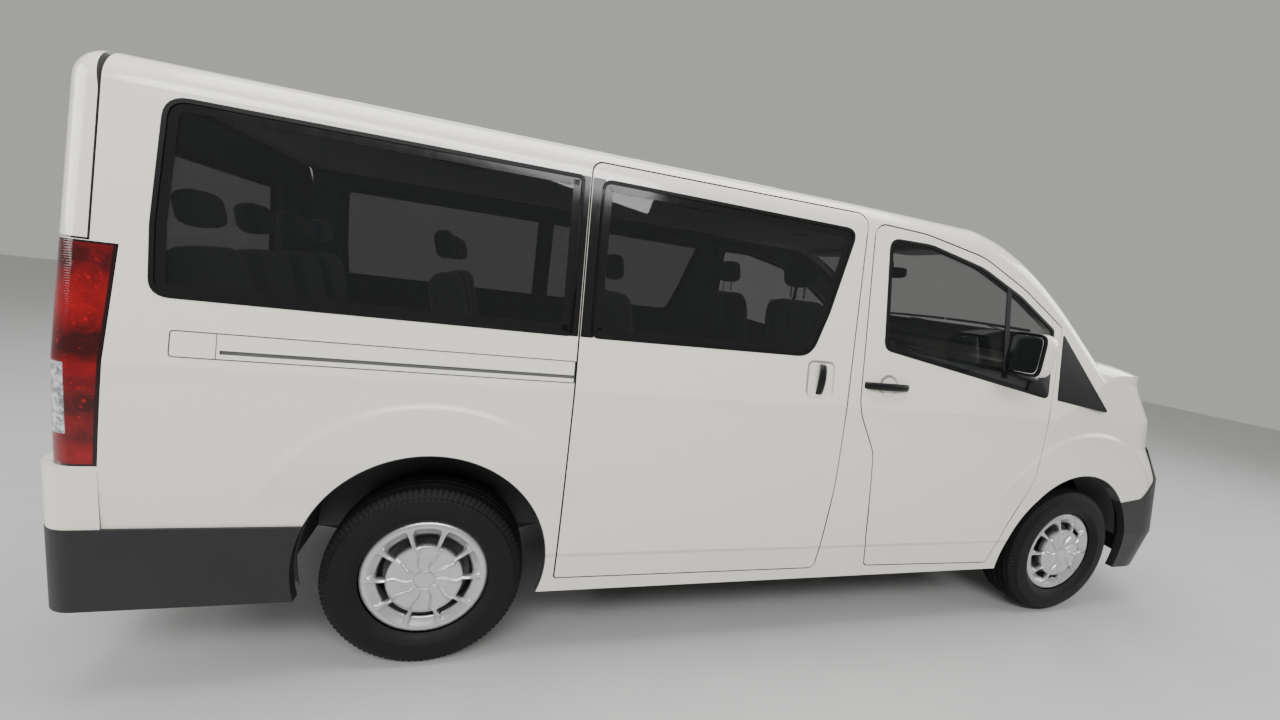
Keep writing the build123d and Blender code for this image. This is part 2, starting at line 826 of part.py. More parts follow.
# Floor: plate, toe board, shelf and firewall, less the wheel houses, and a panel behind the rear bumper
fit_form = body_form(wall + seat_gap, rear_corner_radius - wall)
house_radius = rear_arch[2] + 8.0
rail_top_z = floor_top_z - floor_thickness
rail_bottom_z = rail_top_z - rail_height
tail_zone = box_between((-2700, -2400), (-719, 719), (rail_top_z, tailgate_bottom_z + 18))
with BuildPart() as floor_pan:
    with BuildSketch(Plane.XZ):
        with BuildLine():
            Polyline(
                (floor_rear_x, floor_top_z - floor_thickness),
                (floor_front_x, floor_top_z - floor_thickness),
                (toe_top_x + 40, shelf_z - floor_thickness),
                (firewall_x, shelf_z - floor_thickness),
                (firewall_x, firewall_top_z),
                (firewall_x - 36, firewall_top_z),
                (firewall_x - 36, shelf_z),
                (toe_top_x, shelf_z),
                (floor_front_x - 40, floor_top_z),
                (floor_rear_x, floor_top_z),
                close=True,
            )
        make_face()
    extrude(amount=1000, both=True)
    add(joined(fit_form, cut_piece(lip_form, keep=(tail_zone,))), mode=Mode.INTERSECT)
    with BuildSketch(Plane.XZ):
        with Locations((rear_arch[0], rear_arch[1])):
            Circle(house_radius + liner_thickness + seat_gap)
    extrude(amount=1100, both=True, mode=Mode.SUBTRACT)
    with Locations((rear_arch[0], 0, floor_top_z - floor_thickness / 2)):
        Box(900, 2 * (house_wall_y - liner_thickness - seat_gap), floor_thickness)
    with Locations((spare_x, 0, (rail_top_z + spare_z - 14) / 2)):
        Cylinder(hub_radius - 2, rail_top_z - spare_z + 14)
    with Locations((spare_x, 0, spare_z + wheel_centre_y - hub_face_y - disc_thickness - seat_gap - 4)):
        Cylinder(70, 8)
tail_panel = cut_piece(shell, keep=(tail_zone, lip_form), remove=(tailgate_opening,))
save(joined(floor_pan.part, tail_panel), "floor_pan")

# Wheel house liners: a band over each tyre, closed on its inner side at the rear
with BuildPart() as rear_liner:
    with BuildSketch(Plane.XZ.offset(house_wall_y - liner_thickness)):
        with Locations((rear_arch[0], rear_arch[1])):
            Circle(house_radius + liner_thickness)
    extrude(amount=300)
    with BuildSketch(Plane.XZ.offset(house_wall_y)):
        with Locations((rear_arch[0], rear_arch[1])):
            Circle(house_radius)
    extrude(amount=300, mode=Mode.SUBTRACT)
    with Locations((rear_arch[0], -850, 200)):
        Box(1200, 500, 2 * (liner_bottom_z - 200), mode=Mode.SUBTRACT)
    add(fit_form, mode=Mode.INTERSECT)
with BuildPart() as front_liner:
    with BuildSketch(Plane.XZ.offset(front_liner_y)):
        with Locations((front_arch[0], front_arch[1])):
            Circle(front_arch[2] + 4 + liner_thickness)
            Circle(front_arch[2] + 4, mode=Mode.SUBTRACT)
    extrude(amount=300)
    with Locations((front_arch[0], -850, 200)):
        Box(1200, 500, 2 * (liner_bottom_z - 200), mode=Mode.SUBTRACT)
    add(fit_form, mode=Mode.INTERSECT)
liners = [rear_liner.part, front_liner.part]
save(Compound([*liners, *[mirrored(liner) for liner in liners]]), "wheel_liners")

# Ladder frame: rails, cross members, strut towers, engine feet and the rear towing eye
with BuildPart() as chassis_frame:
    rail_x = (rail_front_x + rail_rear_x) / 2
    with Locations(*[(rail_x, y, rail_top_z - rail_height / 2) for y in (-rail_y, rail_y)]):
        Box(rail_front_x - rail_rear_x, rail_width, rail_height)
    with Locations(*[(x, 0, rail_top_z - cross_height / 2) for x in cross_members]):
        Box(60, 2 * rail_y, cross_height)
    for side in (-1, 1):
        with Locations((front_axle_x, side * (rail_y - 15), (rail_top_z + tower_z) / 2)):
            Box(160, 30, tower_z - rail_top_z)
        with Locations((front_axle_x, side * (rail_y - 30 + strut_y + 55) / 2, tower_z + 6.5)):
            Box(160, strut_y + 55 - rail_y + 30, 13)
        with Locations((engine_x, side * (rail_y + engine_half_width + seat_gap) / 2, rail_top_z - 60)):
            Box(80, rail_y - engine_half_width - seat_gap, 60)
    with BuildSketch(Plane.XZ.offset(-rail_y - eye_thickness / 2)):
        with Locations((rail_rear_x + 40, (eye_z + rail_bottom_z) / 2)):
            Rectangle(60, rail_bottom_z - eye_z)
        with Locations((rail_rear_x + 40, eye_z)):
            Circle(30)
            Circle(eye_radius, mode=Mode.SUBTRACT)
    extrude(amount=eye_thickness)
save(chassis_frame.part, "chassis_frame")

# Rear axle with its differential, hubs and propeller shaft
with BuildPart() as rear_axle:
    with BuildSketch(Plane.XY.offset(axle_z)):
        with BuildLine():
            Polyline(
                (rear_axle_x, 0), (rear_axle_x + 140, 0), (rear_axle_x + 120, 75), (rear_axle_x + 40, 135),
                (rear_axle_x + 40, hub_face_y - 25), (rear_axle_x + 55, hub_face_y - 25),
                (rear_axle_x + 55, hub_face_y - seat_gap), (rear_axle_x + hub_radius, hub_face_y - seat_gap),
                (rear_axle_x + hub_radius, hub_face_y + 30), (rear_axle_x, hub_face_y + 30), close=True,
            )
        make_face()
        mirror(about=Plane.XZ)
    revolve(axis=Axis((rear_axle_x, 0, axle_z), (0, 1, 0)))
    with BuildSketch(Plane.YZ.offset(rear_axle_x)):
        with Locations((0, axle_z)):
            Circle(50)
    extrude(amount=200)
    with BuildSketch(Plane.YZ.offset(rear_axle_x)):
        with Locations((0, axle_z)):
            Circle(36)
    extrude(amount=gearbox_x - rear_axle_x - seat_gap)
save(rear_axle.part, "rear_axle")

# Leaf springs: bowed leaf, eyes and hangers under the rails
spring_top_z = axle_z - 40 - seat_gap
with BuildPart() as leaf_spring:
    with BuildSketch(Plane.XZ.offset(rail_y - spring_width / 2)):
        with BuildLine():
            for depth in (0, spring_depth):
                ThreePointArc(
                    (rear_axle_x - spring_reach, eye_height - depth),
                    (rear_axle_x, spring_top_z - depth),
                    (rear_axle_x + spring_reach, eye_height - depth),
                )
            for end in (-spring_reach, spring_reach):
                Line((rear_axle_x + end, eye_height), (rear_axle_x + end, eye_height - spring_depth))
        make_face()
        with Locations(*[(rear_axle_x + end, eye_height - 8) for end in (-spring_reach, spring_reach)]):
            Circle(24)
        hanger_z = (eye_height + rail_bottom_z) / 2
        with Locations(*[(rear_axle_x + end, hanger_z) for end in (-spring_reach, spring_reach)]):
            Rectangle(44, rail_bottom_z - eye_height)
    extrude(amount=spring_width)
save(Compound([leaf_spring.part, mirrored(leaf_spring.part)]), "leaf_springs")

# Front suspension: subframe with the lower arms, and a strut over each knuckle
with BuildPart() as subframe:
    with Locations((front_axle_x, 0, subframe_z)):
        Box(120, 1000, 70)
    for side in (-1, 1):
        with Locations((front_axle_x, side * rail_y, (subframe_z + 35 + rail_bottom_z) / 2)):
            Box(110, 60, rail_bottom_z - subframe_z - 35)
        with BuildSketch(Plane.YZ.offset(front_axle_x - 45)):
            Polygon(
                (side * 440, subframe_z + 35), (side * 500, subframe_z + 35), (side * 640, arm_top_z),
                (side * (kingpin_y + 30), arm_top_z), (side * (kingpin_y + 30), arm_top_z - 50),
                (side * 600, arm_top_z - 50), (side * 440, subframe_z - 35), align=None,
            )
        extrude(amount=90)
with BuildPart() as strut:
    with Locations((front_axle_x, -(strut_y + kingpin_y) / 2, knuckle_top_z + 13)):
        Box(70, kingpin_y - strut_y + 60, 25)
    with BuildSketch(Plane.XY.offset(knuckle_top_z + 20)):
        with Locations((front_axle_x, -strut_y)):
            Circle(28)
    extrude(amount=tower_z - seat_gap - knuckle_top_z - 20)
    with BuildSketch(Plane.XY.offset(700)):
        with Locations((front_axle_x, -strut_y)):
            Circle(50)
    extrude(amount=150)
save(Compound([subframe.part, strut.part, mirrored(strut.part)]), "front_suspension")

# Knuckles: kingpin post, hub, and the steering arm behind it
with BuildPart() as knuckle:
    with BuildSketch(Plane.XY.offset(arm_top_z + seat_gap)):
        with Locations((front_axle_x, -kingpin_y)):
            Circle(30)
    extrude(amount=knuckle_top_z - arm_top_z - 2 * seat_gap)
    with BuildSketch(Plane.XZ.offset(kingpin_y)):
        with Locations((front_axle_x, axle_z)):
            Circle(42)
    extrude(amount=hub_face_y - kingpin_y - 20)
    with BuildSketch(Plane.XZ.offset(hub_face_y - 20)):
        with Locations((front_axle_x, axle_z)):
            Circle(55)
    extrude(amount=20 - seat_gap)
    with BuildSketch(Plane.XZ.offset(hub_face_y - 20)):
        with Locations((front_axle_x, axle_z)):
            Circle(hub_radius)
    extrude(amount=50)
    with Locations((front_axle_x - 60, -kingpin_y, axle_z - 40)):
        Box(120, 26, 24)
save(knuckle.part, "knuckle_right")
save(mirrored(knuckle.part), "knuckle_left")

# Engine with its gearbox, one plain block
with BuildPart() as engine_block:
    with Locations((engine_x, 0, 630)):
        Box(620, 2 * engine_half_width, 500)
    chamfer(engine_block.edges(), 30)
    with Locations(((gearbox_x + engine_x - 280) / 2, 0, 400)):
        Box(engine_x - 280 - gearbox_x, 260, 220)
save(engine_block.part, "engine_block")

# Exhaust: pipe, silencer and hangers
exhaust_points = ((1329, -260), (900, -260), (450, -exhaust_y), (-2250, -exhaust_y), (-2520, -exhaust_y))
exhaust_heights = (exhaust_z, exhaust_z, exhaust_z, exhaust_z, exhaust_z - 125)
with BuildPart() as exhaust:
    with BuildLine() as pipe_path:
        Polyline(*[(*p, z) for p, z in zip(exhaust_points, exhaust_heights)])
    with BuildSketch(Plane(origin=pipe_path.line @ 0, z_dir=pipe_path.line % 0)):
        Circle(exhaust_radius)
    sweep(transition=Transition.RIGHT)
    with BuildSketch(Plane.YZ.offset(-550)):
        with Locations((-exhaust_y, exhaust_z)):
            Ellipse(95, 62)
    extrude(amount=600)
    with Locations(*[(x, -exhaust_y, (exhaust_z + rail_top_z - seat_gap) / 2) for x in (300, -900, -2180)]):
        Box(14, 14, rail_top_z - seat_gap - exhaust_z)
save(exhaust.part, "exhaust")

# Fuel tank under the floor
with BuildPart() as fuel_tank:
    with Locations((-275, 260, (rail_top_z - seat_gap + 340) / 2)):
        Box(1100, 330, rail_top_z - seat_gap - 340)
    fillet(fuel_tank.edges().filter_by(Axis.X), 30)
save(fuel_tank.part, "fuel_tank")


def at_wheel(part, x, side):
    """a part made round the Z axis, turned to face outwards at one wheel"""
    hub = Plane(origin=(x, side * wheel_centre_y, axle_z), x_dir=(1, 0, 0), z_dir=(0, side, 0))
    return part.moved(Location(hub))


# Tyre: half of its section, as radius and distance from the tyre's middle, from the tread in to the bead
half_tyre = tyre_width / 2
bead_half = rim_half_width - fit_gap
tyre_side = (
    (tyre_radius, tread_half / 2),
    (tyre_radius - 7, tread_half),
    (tyre_radius - 20, tread_half + 11),
    (tyre_radius - 50, half_tyre - 4),
    (tyre_radius - 80, half_tyre),
    (tyre_radius - 108, half_tyre - 5),
    (cover_radius + 2, bead_half),
    (rim_radius + fit_gap, bead_half),
)
with BuildPart() as tyre:
    with BuildSketch(Plane.XZ):
        Polygon(*tyre_side, *[(r, -z) for r, z in reversed(tyre_side)], align=None)
    revolve(axis=Axis.Z)

# Rim with its disc; the hub face is inboard of the wheel's centre
disc_z = hub_face_y - wheel_centre_y
rim_inner = rim_radius - rim_wall
with BuildPart() as rim:
    with BuildSketch(Plane.XZ):
        Polygon(
            (hub_radius + fit_gap, disc_z),
            (rim_inner, disc_z),
            (rim_inner, -rim_half_width),
            (rim_radius, -rim_half_width),
            (rim_radius, rim_half_width),
            (rim_inner, rim_half_width),
            (rim_inner, disc_z + disc_thickness),
            (hub_radius + fit_gap, disc_z + disc_thickness),
            align=None,
        )
    revolve(axis=Axis.Z)

# Wheel cover: domed disc with a bare cap and ten windows near its edge
cover_inner = rim_inner - 6
with BuildPart() as cover:
    with BuildSketch(Plane.XZ):
        Polygon(
            (0, cover_z + 2),
            (cap_radius - 6, cover_z + 2),
            (cap_radius, cover_z - 4),
            (window_inner - 8, cover_z - 3),
            (cover_radius - 14, cover_z - 9),
            (cover_radius - 4, cover_z - 12),
            (cover_radius, rim_half_width),
            (cover_inner, rim_half_width),
            (cover_inner, cover_z - 16),
            (0, cover_z - 12),
            align=None,
        )
    revolve(axis=Axis.Z)
    with BuildSketch(Plane.XY.offset(cover_z - 40)) as windows:
        with PolarLocations(0, cover_windows):
            corners = ((window_inner, -33), (window_outer, -39), (window_outer, 39), (window_inner, 33))
            Polygon(*corners, align=None)
        fillet(windows.vertices(), 7)
    extrude(amount=80, mode=Mode.SUBTRACT)
wheel = joined(rim.part, cover.part)

for end, x in (("front", front_axle_x), ("rear", rear_axle_x)):
    for side_name, side in (("right", -1), ("left", 1)):
        save(at_wheel(tyre.part, x, side), f"tyre_{end}_{side_name}")
        save(at_wheel(wheel, x, side), f"wheel_{end}_{side_name}")

# Spare wheel, flat under the rear floor with its disc's hub face upwards
spare_place = Location(Plane(origin=(spare_x, 0, spare_z), x_dir=(1, 0, 0), z_dir=(0, 0, -1)))
save(Compound([tyre.part.moved(spare_place), rim.part.moved(spare_place)]), "spare_wheel")


def seat(back_x, width, height, cushion_z, headrest):
    """one seat seen from the side, with its back leaning and its edges rounded"""
    with BuildPart() as form:
        with BuildSketch(Plane.XZ.offset(-width / 2)):
            with BuildLine():
                FilletPolyline(
                    (back_x + 60, cushion_z - cushion_depth),
                    (back_x + 560, cushion_z - cushion_depth),
                    (back_x + 570, cushion_z + 10),
                    (back_x + 150, cushion_z - 20),
                    (back_x + 20, height),
                    (back_x - 90, height),
                    radius=(30, 40, 40, 25, 45, 45),
                    close=True,
                )
            make_face()
        extrude(amount=width)
        chamfer(form.faces().filter_by(Axis.Y).edges(), seat_edge)
        for y in headrest:
            with Locations((back_x - 42, y, height + 95)):
                Box(90, 250, 140)
            with Locations(*[(back_x - 42, y + post, height + 10) for post in (-60, 60)]):
                Cylinder(7, 60)
    return form.part


# Seats: two in front, three rows behind, each on a pedestal that stands on the floor
front_seat = seat(front_seat_x, 520, 1560, seat_z, (0,))
save(Compound([front_seat.moved(Location((0, y, 0))) for y in front_seat_y]), "front_seats")
pedestal_top_z = seat_z - cushion_depth - seat_gap
legs_top_z = row_seat_z - cushion_depth - seat_gap
with BuildPart() as front_pedestals:
    with Locations(*[(front_seat_x + 330, y, (floor_top_z + pedestal_top_z) / 2) for y in front_seat_y]):
        Box(340, 400, pedestal_top_z - floor_top_z)
rows = []
pedestals = [*front_pedestals.part.solids()]
for back_x, centre_y, width, leg_width, rests in seat_rows:
    rows.append(seat(back_x, width, row_back_z, row_seat_z, rests).moved(Location((0, centre_y, 0))))
    with BuildPart() as row_legs:
        with Locations((back_x + 300, centre_y, legs_top_z - 14)):
            Box(360, leg_width, 28)
        leg_y = leg_width / 2 - 60
        leg_z = (floor_top_z + legs_top_z) / 2
        with Locations(*[(back_x + 300, centre_y + y, leg_z) for y in (-leg_y, leg_y)]):
            Box(300, 30, legs_top_z - floor_top_z)
    pedestals.append(row_legs.part)
save(Compound(rows), "rear_seats")
save(Compound(pedestals), "seat_frames")

# Dashboard on the shelf, with the steering column and the instrument hood
steering_axis = Vector(cos(radians(steering_tilt)), 0, -sin(radians(steering_tilt)))
steering_plane = Plane(origin=steering_centre, x_dir=(0, 1, 0), z_dir=-steering_axis)
dash_front_x = firewall_x - lip_depth - seat_gap
with BuildPart() as dashboard:
    with BuildSketch(Plane.XZ.offset(-dash_half_width)):
        with BuildLine():
            FilletPolyline(
                (1200, shelf_z + 5), (1110, shelf_z - 30), (1080, 1010), (1095, 1130), (1180, 1200),
                (1400, 1225), (dash_front_x, 1250), (dash_front_x, shelf_z + seat_gap),
                (toe_top_x + 20, shelf_z + seat_gap),
                radius=(20, 40, 60, 60, 80, 200, 0, 0, 0), close=True,
            )
        make_face()
    extrude(amount=2 * dash_half_width)
    add(fit_form, mode=Mode.INTERSECT)
    with BuildSketch(Plane(origin=steering_centre, z_dir=steering_axis).offset(column_gap)):
        Circle(36)
    extrude(amount=240)
save(dashboard.part, "dashboard")

# Steering wheel: rim, hub and three spokes, standing on the column
with BuildPart() as steering_wheel:
    with BuildSketch(Plane.XZ):
        with Locations((steering_radius, 0)):
            RegularPolygon(rim_grip, 8)
    revolve(axis=Axis.Z)
    with BuildSketch(Plane.XY.offset(-35)):
        Circle(62)
    extrude(amount=30, taper=6)
    with BuildSketch(Plane.XY.offset(-18)):
        for angle in (0, 180, 270):
            with Locations(Rotation(0, 0, angle)):
                with Locations((steering_radius / 2, 0)):
                    Rectangle(steering_radius, 34)
    extrude(amount=12)
save(steering_wheel.part.moved(Location(steering_plane)), "steering_wheel")

# Mirrors: rounded head on an arm that stands on the door below its window
with BuildPart() as mirror_right:
    with Locations((mirror_x, -mirror_y, mirror_z)):
        Box(105, 175, 190)
    fillet(mirror_right.edges(), 30)
    with BuildSketch(Plane(origin=mirror_foot, z_dir=(-0.55, -0.5, 0.67))):
        Rectangle(60, 60)
    with BuildSketch(Plane(origin=(mirror_x + 10, -mirror_y + 60, mirror_z - 70), z_dir=(-0.9, -0.3, 0.3))):
        Rectangle(50, 50)
    loft()
    add(outer_form, mode=Mode.SUBTRACT)
save(mirror_right.part, "mirror_right")
save(mirrored(mirror_right.part), "mirror_left")

# Door handles: a pull bar on two feet
def handle(x, z, length, upright):
    """pull handle on the right wall of the body"""
    with BuildPart() as form:
        with BuildSketch(Plane.XZ.offset(flank_y - 12)):
            with Locations((x, z)):
                if upright:
                    RectangleRounded(32, length, 14)
                else:
                    RectangleRounded(length, 32, 14)
        extrude(amount=26)
        chamfer(form.faces().sort_by(Axis.Y)[0].edges(), 6)
    return form.part


front_handle = cut_piece(
    joined(
        handle(307, 1200, 235, False),
        box_between((200, 232), (-flank_y + 6, -920), (1188, 1212)),
        box_between((382, 414), (-flank_y + 6, -920), (1188, 1212)),
    ),
    remove=(outer_form,),
)
save(front_handle, "handle_right")
save(mirrored(front_handle), "handle_left")
sliding_handle = cut_piece(
    joined(
        handle(-34, 1207, 130, True),
        box_between((-46, -22), (-flank_y + 6, -920), (1148, 1172)),
        box_between((-46, -22), (-flank_y + 6, -920), (1242, 1266)),
    ),
    remove=(outer_form, sliding_door),
)
save(sliding_handle, "sliding_handle")
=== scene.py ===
import bpy
import bmesh
import math
import numpy as np
from mathutils import Matrix, Vector
from mathutils.bvhtree import BVHTree


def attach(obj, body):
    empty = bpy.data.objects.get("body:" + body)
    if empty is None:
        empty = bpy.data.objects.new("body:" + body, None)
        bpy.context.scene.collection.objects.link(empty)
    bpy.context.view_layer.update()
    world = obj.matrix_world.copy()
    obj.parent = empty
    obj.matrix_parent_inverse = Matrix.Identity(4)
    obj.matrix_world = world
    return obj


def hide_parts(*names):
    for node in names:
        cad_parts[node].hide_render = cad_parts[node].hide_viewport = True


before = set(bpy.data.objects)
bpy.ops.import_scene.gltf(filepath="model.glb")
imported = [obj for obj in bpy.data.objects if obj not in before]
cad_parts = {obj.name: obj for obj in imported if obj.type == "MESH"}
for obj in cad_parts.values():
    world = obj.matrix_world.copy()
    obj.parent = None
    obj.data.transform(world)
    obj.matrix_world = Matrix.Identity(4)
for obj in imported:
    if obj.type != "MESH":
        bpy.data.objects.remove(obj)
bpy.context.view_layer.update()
print("frame loaded")


# A shader socket with arithmetic: an expression adds its Math nodes
class Sock:
    def __init__(self, tree, out):
        self.tree, self.out = tree, out

    def math(self, operation, *others, swap=False):
        node = self.tree.nodes.new("ShaderNodeMath")
        node.operation = operation
        values = (self, *others)[::-1] if swap else (self, *others)
        for slot, value in enumerate(values):
            if isinstance(value, Sock):
                self.tree.links.new(value.out, node.inputs[slot])
            else:
                node.inputs[slot].default_value = float(value)
        return Sock(self.tree, node.outputs[0])

    def __add__(self, other): return self.math("ADD", other)
    def __radd__(self, other): return self.math("ADD", other)
    def __sub__(self, other): return self.math("SUBTRACT", other)
    def __rsub__(self, other): return self.math("SUBTRACT", other, swap=True)
    def __mul__(self, other): return self.math("MULTIPLY", other)
    def __rmul__(self, other): return self.math("MULTIPLY", other)
    def __abs__(self): return self.math("ABSOLUTE")

    def low(self, other): return self.math("MINIMUM", other)
    def high(self, other): return self.math("MAXIMUM", other)

    def ramp(self, start, end):    # smooth 0 to 1 between two values
        node = self.tree.nodes.new("ShaderNodeMapRange")
        node.interpolation_type = "SMOOTHSTEP"
        node.inputs["From Min"].default_value = start
        node.inputs["From Max"].default_value = end
        self.tree.links.new(self.out, node.inputs["Value"])
        return Sock(self.tree, node.outputs[0])


def length(*values):
    # square root of the sum of squares
    total = values[0] * values[0]
    for value in values[1:]:
        total = total + value * value
    return total.math("SQRT")


# A material: its Principled shader, object coordinates and one method that adds any node
class Shade:
    def __init__(self, name, **fixed):
        self.material = bpy.data.materials.new(name)
        self.material.use_nodes = True
        self.tree = self.material.node_tree
        self.shader = self.tree.nodes["Principled BSDF"]
        for key, value in fixed.items():
            self.shader.inputs[key.replace("_", " ")].default_value = value
        self.vector = self.out(self.add("TexCoord"), "Object")
        split = self.add("SeparateXYZ", Vector=self.vector)
        self.x, self.y, self.z = (self.out(split, axis) for axis in "XYZ")

    def add(self, kind, settings=None, **sockets):
        node = self.tree.nodes.new("ShaderNode" + kind)
        for key, value in (settings or {}).items():
            setattr(node, key, value)
        for key, value in sockets.items():
            spot = node.inputs[key.replace("_", " ")]
            if isinstance(value, Sock):
                self.tree.links.new(value.out, spot)
            else:
                spot.default_value = value
        return node

    def out(self, node, name=0):
        return Sock(self.tree, node.outputs[name])

    def noise(self, scale, detail=3.0, rough=0.5):
        node = self.add("TexNoise", Vector=self.vector, Scale=scale, Detail=detail, Roughness=rough)
        return self.out(node, "Fac")

    def cells(self, scale):
        return self.out(self.add("TexVoronoi", Vector=self.vector, Scale=scale), "Distance")

    def mix(self, mask, start, end):
        node = self.add("Mix", {"data_type": "RGBA"})
        self.tree.links.new(mask.out, node.inputs[0])
        for slot, value in ((6, start), (7, end)):
            if isinstance(value, Sock):
                self.tree.links.new(value.out, node.inputs[slot])
            else:
                node.inputs[slot].default_value = (*value, 1.0)
        return Sock(self.tree, node.outputs[2])

    def feed(self, name, value):
        self.tree.links.new(value.out, self.shader.inputs[name])

    def bump(self, height, strength, distance):
        self.feed("Normal", self.out(self.add("Bump", Height=height, Strength=strength, Distance=distance)))

    def tone(self, mask, color, dark, pale):    # a colour that wanders between a darker and a paler one
        dark, pale = (tuple(part * factor for part in color) for factor in (dark, pale))
        self.feed("Base Color", self.mix(mask, dark, pale))


colors = {
    "white": (0.84, 0.81, 0.715), "lining": (0.52, 0.5, 0.47), "trim": (0.055, 0.055, 0.058),
    "bumper": (0.021, 0.0205, 0.021), "black": (0.006, 0.006, 0.0065), "underbody": (0.016, 0.016, 0.017),
    "silver": (0.56, 0.57, 0.58), "rubber": (0.0075, 0.0075, 0.0082), "cloth": (0.05, 0.05, 0.054),
    "lampRed": (0.3, 0.002, 0.005), "lampDark": (0.035, 0.0005, 0.001), "lampEdge": (0.01, 0.001, 0.002),
    "clearDark": (0.16, 0.165, 0.18), "clearPale": (0.62, 0.64, 0.66), "screen": (0.012, 0.016, 0.014),
}

# Body features in the paint: x, z and sizes in metres, heights in millimetres
press = {
    "rearFlare": (-1.506, 0.425, 0.6), "frontFlare": (1.678, 0.348, 0.69), "flareHigh": 11.0,
    "rearArch": (-1.506, 0.425, 0.4185), "frontArch": (1.678, 0.348, 0.4605),
    "slideCup": (-0.03, 1.207, 0.068, 0.078, 0.03), "doorCup": (0.318, 1.2, 0.052), "cupDeep": 14.0,
    "lowerCrease": 0.452, "lowerHigh": 5.0, "waistCrease": 1.075, "waistHigh": 1.5,
}
# Half width of the skin at the waist, and how it falls away: side, height, slope
skinShape = {"half": 0.973, "bends": ((-1, 1.1, 0.151), (1, 0.6, 0.075), (1, 0.458, 0.06))}
# Limits of the painted shade in the gaps: x of the front and rear gaps, height of the low gap, the door
# frame's corner, depth below the skin
gaps = {"front": 1.36, "rear": -2.43, "low": 1.16, "frameX": 0.76, "frameZ": 1.84, "deep": (0.0015, 0.003)}


def roundBox(shade, x, z, halfX, halfZ, radius):
    # distance outside a rounded rectangle in the side view, negative inside
    dx = (abs(shade.x - x) - (halfX - radius)).high(0.0)
    dz = (abs(shade.z - z) - (halfZ - radius)).high(0.0)
    return length(dx, dz) - radius


def paintShade(name, inside):
    # gloss paint outside, trim colour where a face looks into the cabin, and the same dark colour as painted
    # shade in the wheel arches and the gaps
    shade = Shade(name, Coat_Weight=0.7, Coat_Roughness=0.02, IOR=1.5)
    x, y, z = shade.x, shade.y, shade.z
    normal = shade.add("SeparateXYZ", Vector=shade.out(shade.add("TexCoord"), "Normal"))
    inward = shade.out(normal, "Y") * y.math("SIGN") * -1.0
    under = shade.out(normal, "Z") * -1.0

    def reach(key):    # distance from the centre of an arch, and the radius that belongs to it
        cx, cz, radius = press[key]
        return length(x - cx, z - cz), radius

    # the inner faces of the wheel arches, darkened as painted shade
    def archShade(key):
        away, radius = reach(key)
        return away.math("LESS_THAN", radius)

    def flare(key):
        away, radius = reach(key)
        return away.ramp(radius + 0.006, radius - 0.024) * z.ramp(0.62, 0.82)

    # the lips behind the door gaps lie deep below the skin but face the same way as it; they take the dark
    # colour as painted shade
    skin = skinShape["half"]
    for sign, bendZ, slope in skinShape["bends"]:
        skin = ((z - bendZ) * sign).low(0.0) * slope + skin
    sunk = skin - abs(y)
    behindWing = x.ramp(gaps["front"], gaps["front"] - 0.03)
    lip = sunk.ramp(0.011, 0.014) * inward.ramp(-0.94, -0.96) * behindWing
    # the edges of the gaps, which face along the van, and the tailgate's rim, which faces forward, are
    # darkened as painted shade
    doorFrame = x.ramp(gaps["frameX"], gaps["frameX"] - 0.02) * z.ramp(gaps["frameZ"], gaps["frameZ"] - 0.02)
    zone = z.ramp(gaps["low"], gaps["low"] - 0.02).high(doorFrame)
    zone = zone * x.ramp(gaps["rear"], gaps["rear"] + 0.01) * behindWing
    gapEdgeShade = abs(inward).ramp(0.35, 0.25) * sunk.ramp(*gaps["deep"]) * zone
    gateRimShade = shade.out(normal, "X").ramp(0.5, 0.7) * x.ramp(-2.4, -2.42)
    ceiling = under.ramp(0.5, 0.8) * z.ramp(1.5, 1.6)
    # the dark colour goes where faces look into the cabin, and as painted shade into the arches, the gaps and
    # onto the tailgate's rim
    mask = inward.ramp(0.15, 0.35) + ceiling + archShade("rearArch") + archShade("frontArch") + lip + gapEdgeShade + gateRimShade
    white = colors["white"]
    base = shade.mix(shade.noise(1.3), [part * 0.985 for part in white], [part * 1.01 for part in white])
    shade.feed("Base Color", shade.mix(mask.low(1.0), base, inside))
    shade.feed("Roughness", mask.low(1.0) * 0.45 + shade.noise(40.0) * 0.03 + 0.19)

    flank = abs(y).ramp(0.8, 0.86)
    cup = roundBox(shade, *press["slideCup"]).ramp(0.001, -0.012) * y.math("LESS_THAN", 0.0)
    doorX, doorZ, doorR = press["doorCup"]
    door = (length(x - doorX, z - doorZ) - doorR).ramp(0.001, -0.016)
    waist, crease = press["waistCrease"], press["lowerCrease"]
    height = (flare("rearFlare") + flare("frontFlare")) * press["flareHigh"] - (cup + door) * press["cupDeep"]
    height = height + z.ramp(waist - 0.03, waist + 0.03) * press["waistHigh"]
    height = height - z.ramp(crease + 0.01, crease - 0.01) * press["lowerHigh"]
    shade.bump(height * flank, 1.0, 0.001)
    return shade


def plastic(name, color, grain=900.0, rough=0.5, depth=0.25, shine=0.5):
    # moulded plastic with a fine leathery grain
    shade = Shade(name, Specular_IOR_Level=shine)
    shade.tone(shade.noise(8.0), color, 0.85, 1.15)
    shade.feed("Roughness", shade.noise(30.0) * 0.1 + (rough - 0.05))
    shade.bump(shade.cells(grain), depth, 0.0006)
    return shade


def metal(name, color, rough, metallic, coat=0.0):
    # painted or bare metal with faint mottling
    shade = Shade(name, Metallic=metallic, Coat_Weight=coat)
    mottle = shade.noise(24.0, 5.0, 0.6)
    shade.tone(mottle, color, 0.85, 1.12)
    shade.feed("Roughness", mottle * 0.16 + (rough - 0.08))
    shade.bump(shade.noise(300.0), 0.12, 0.0003)
    return shade


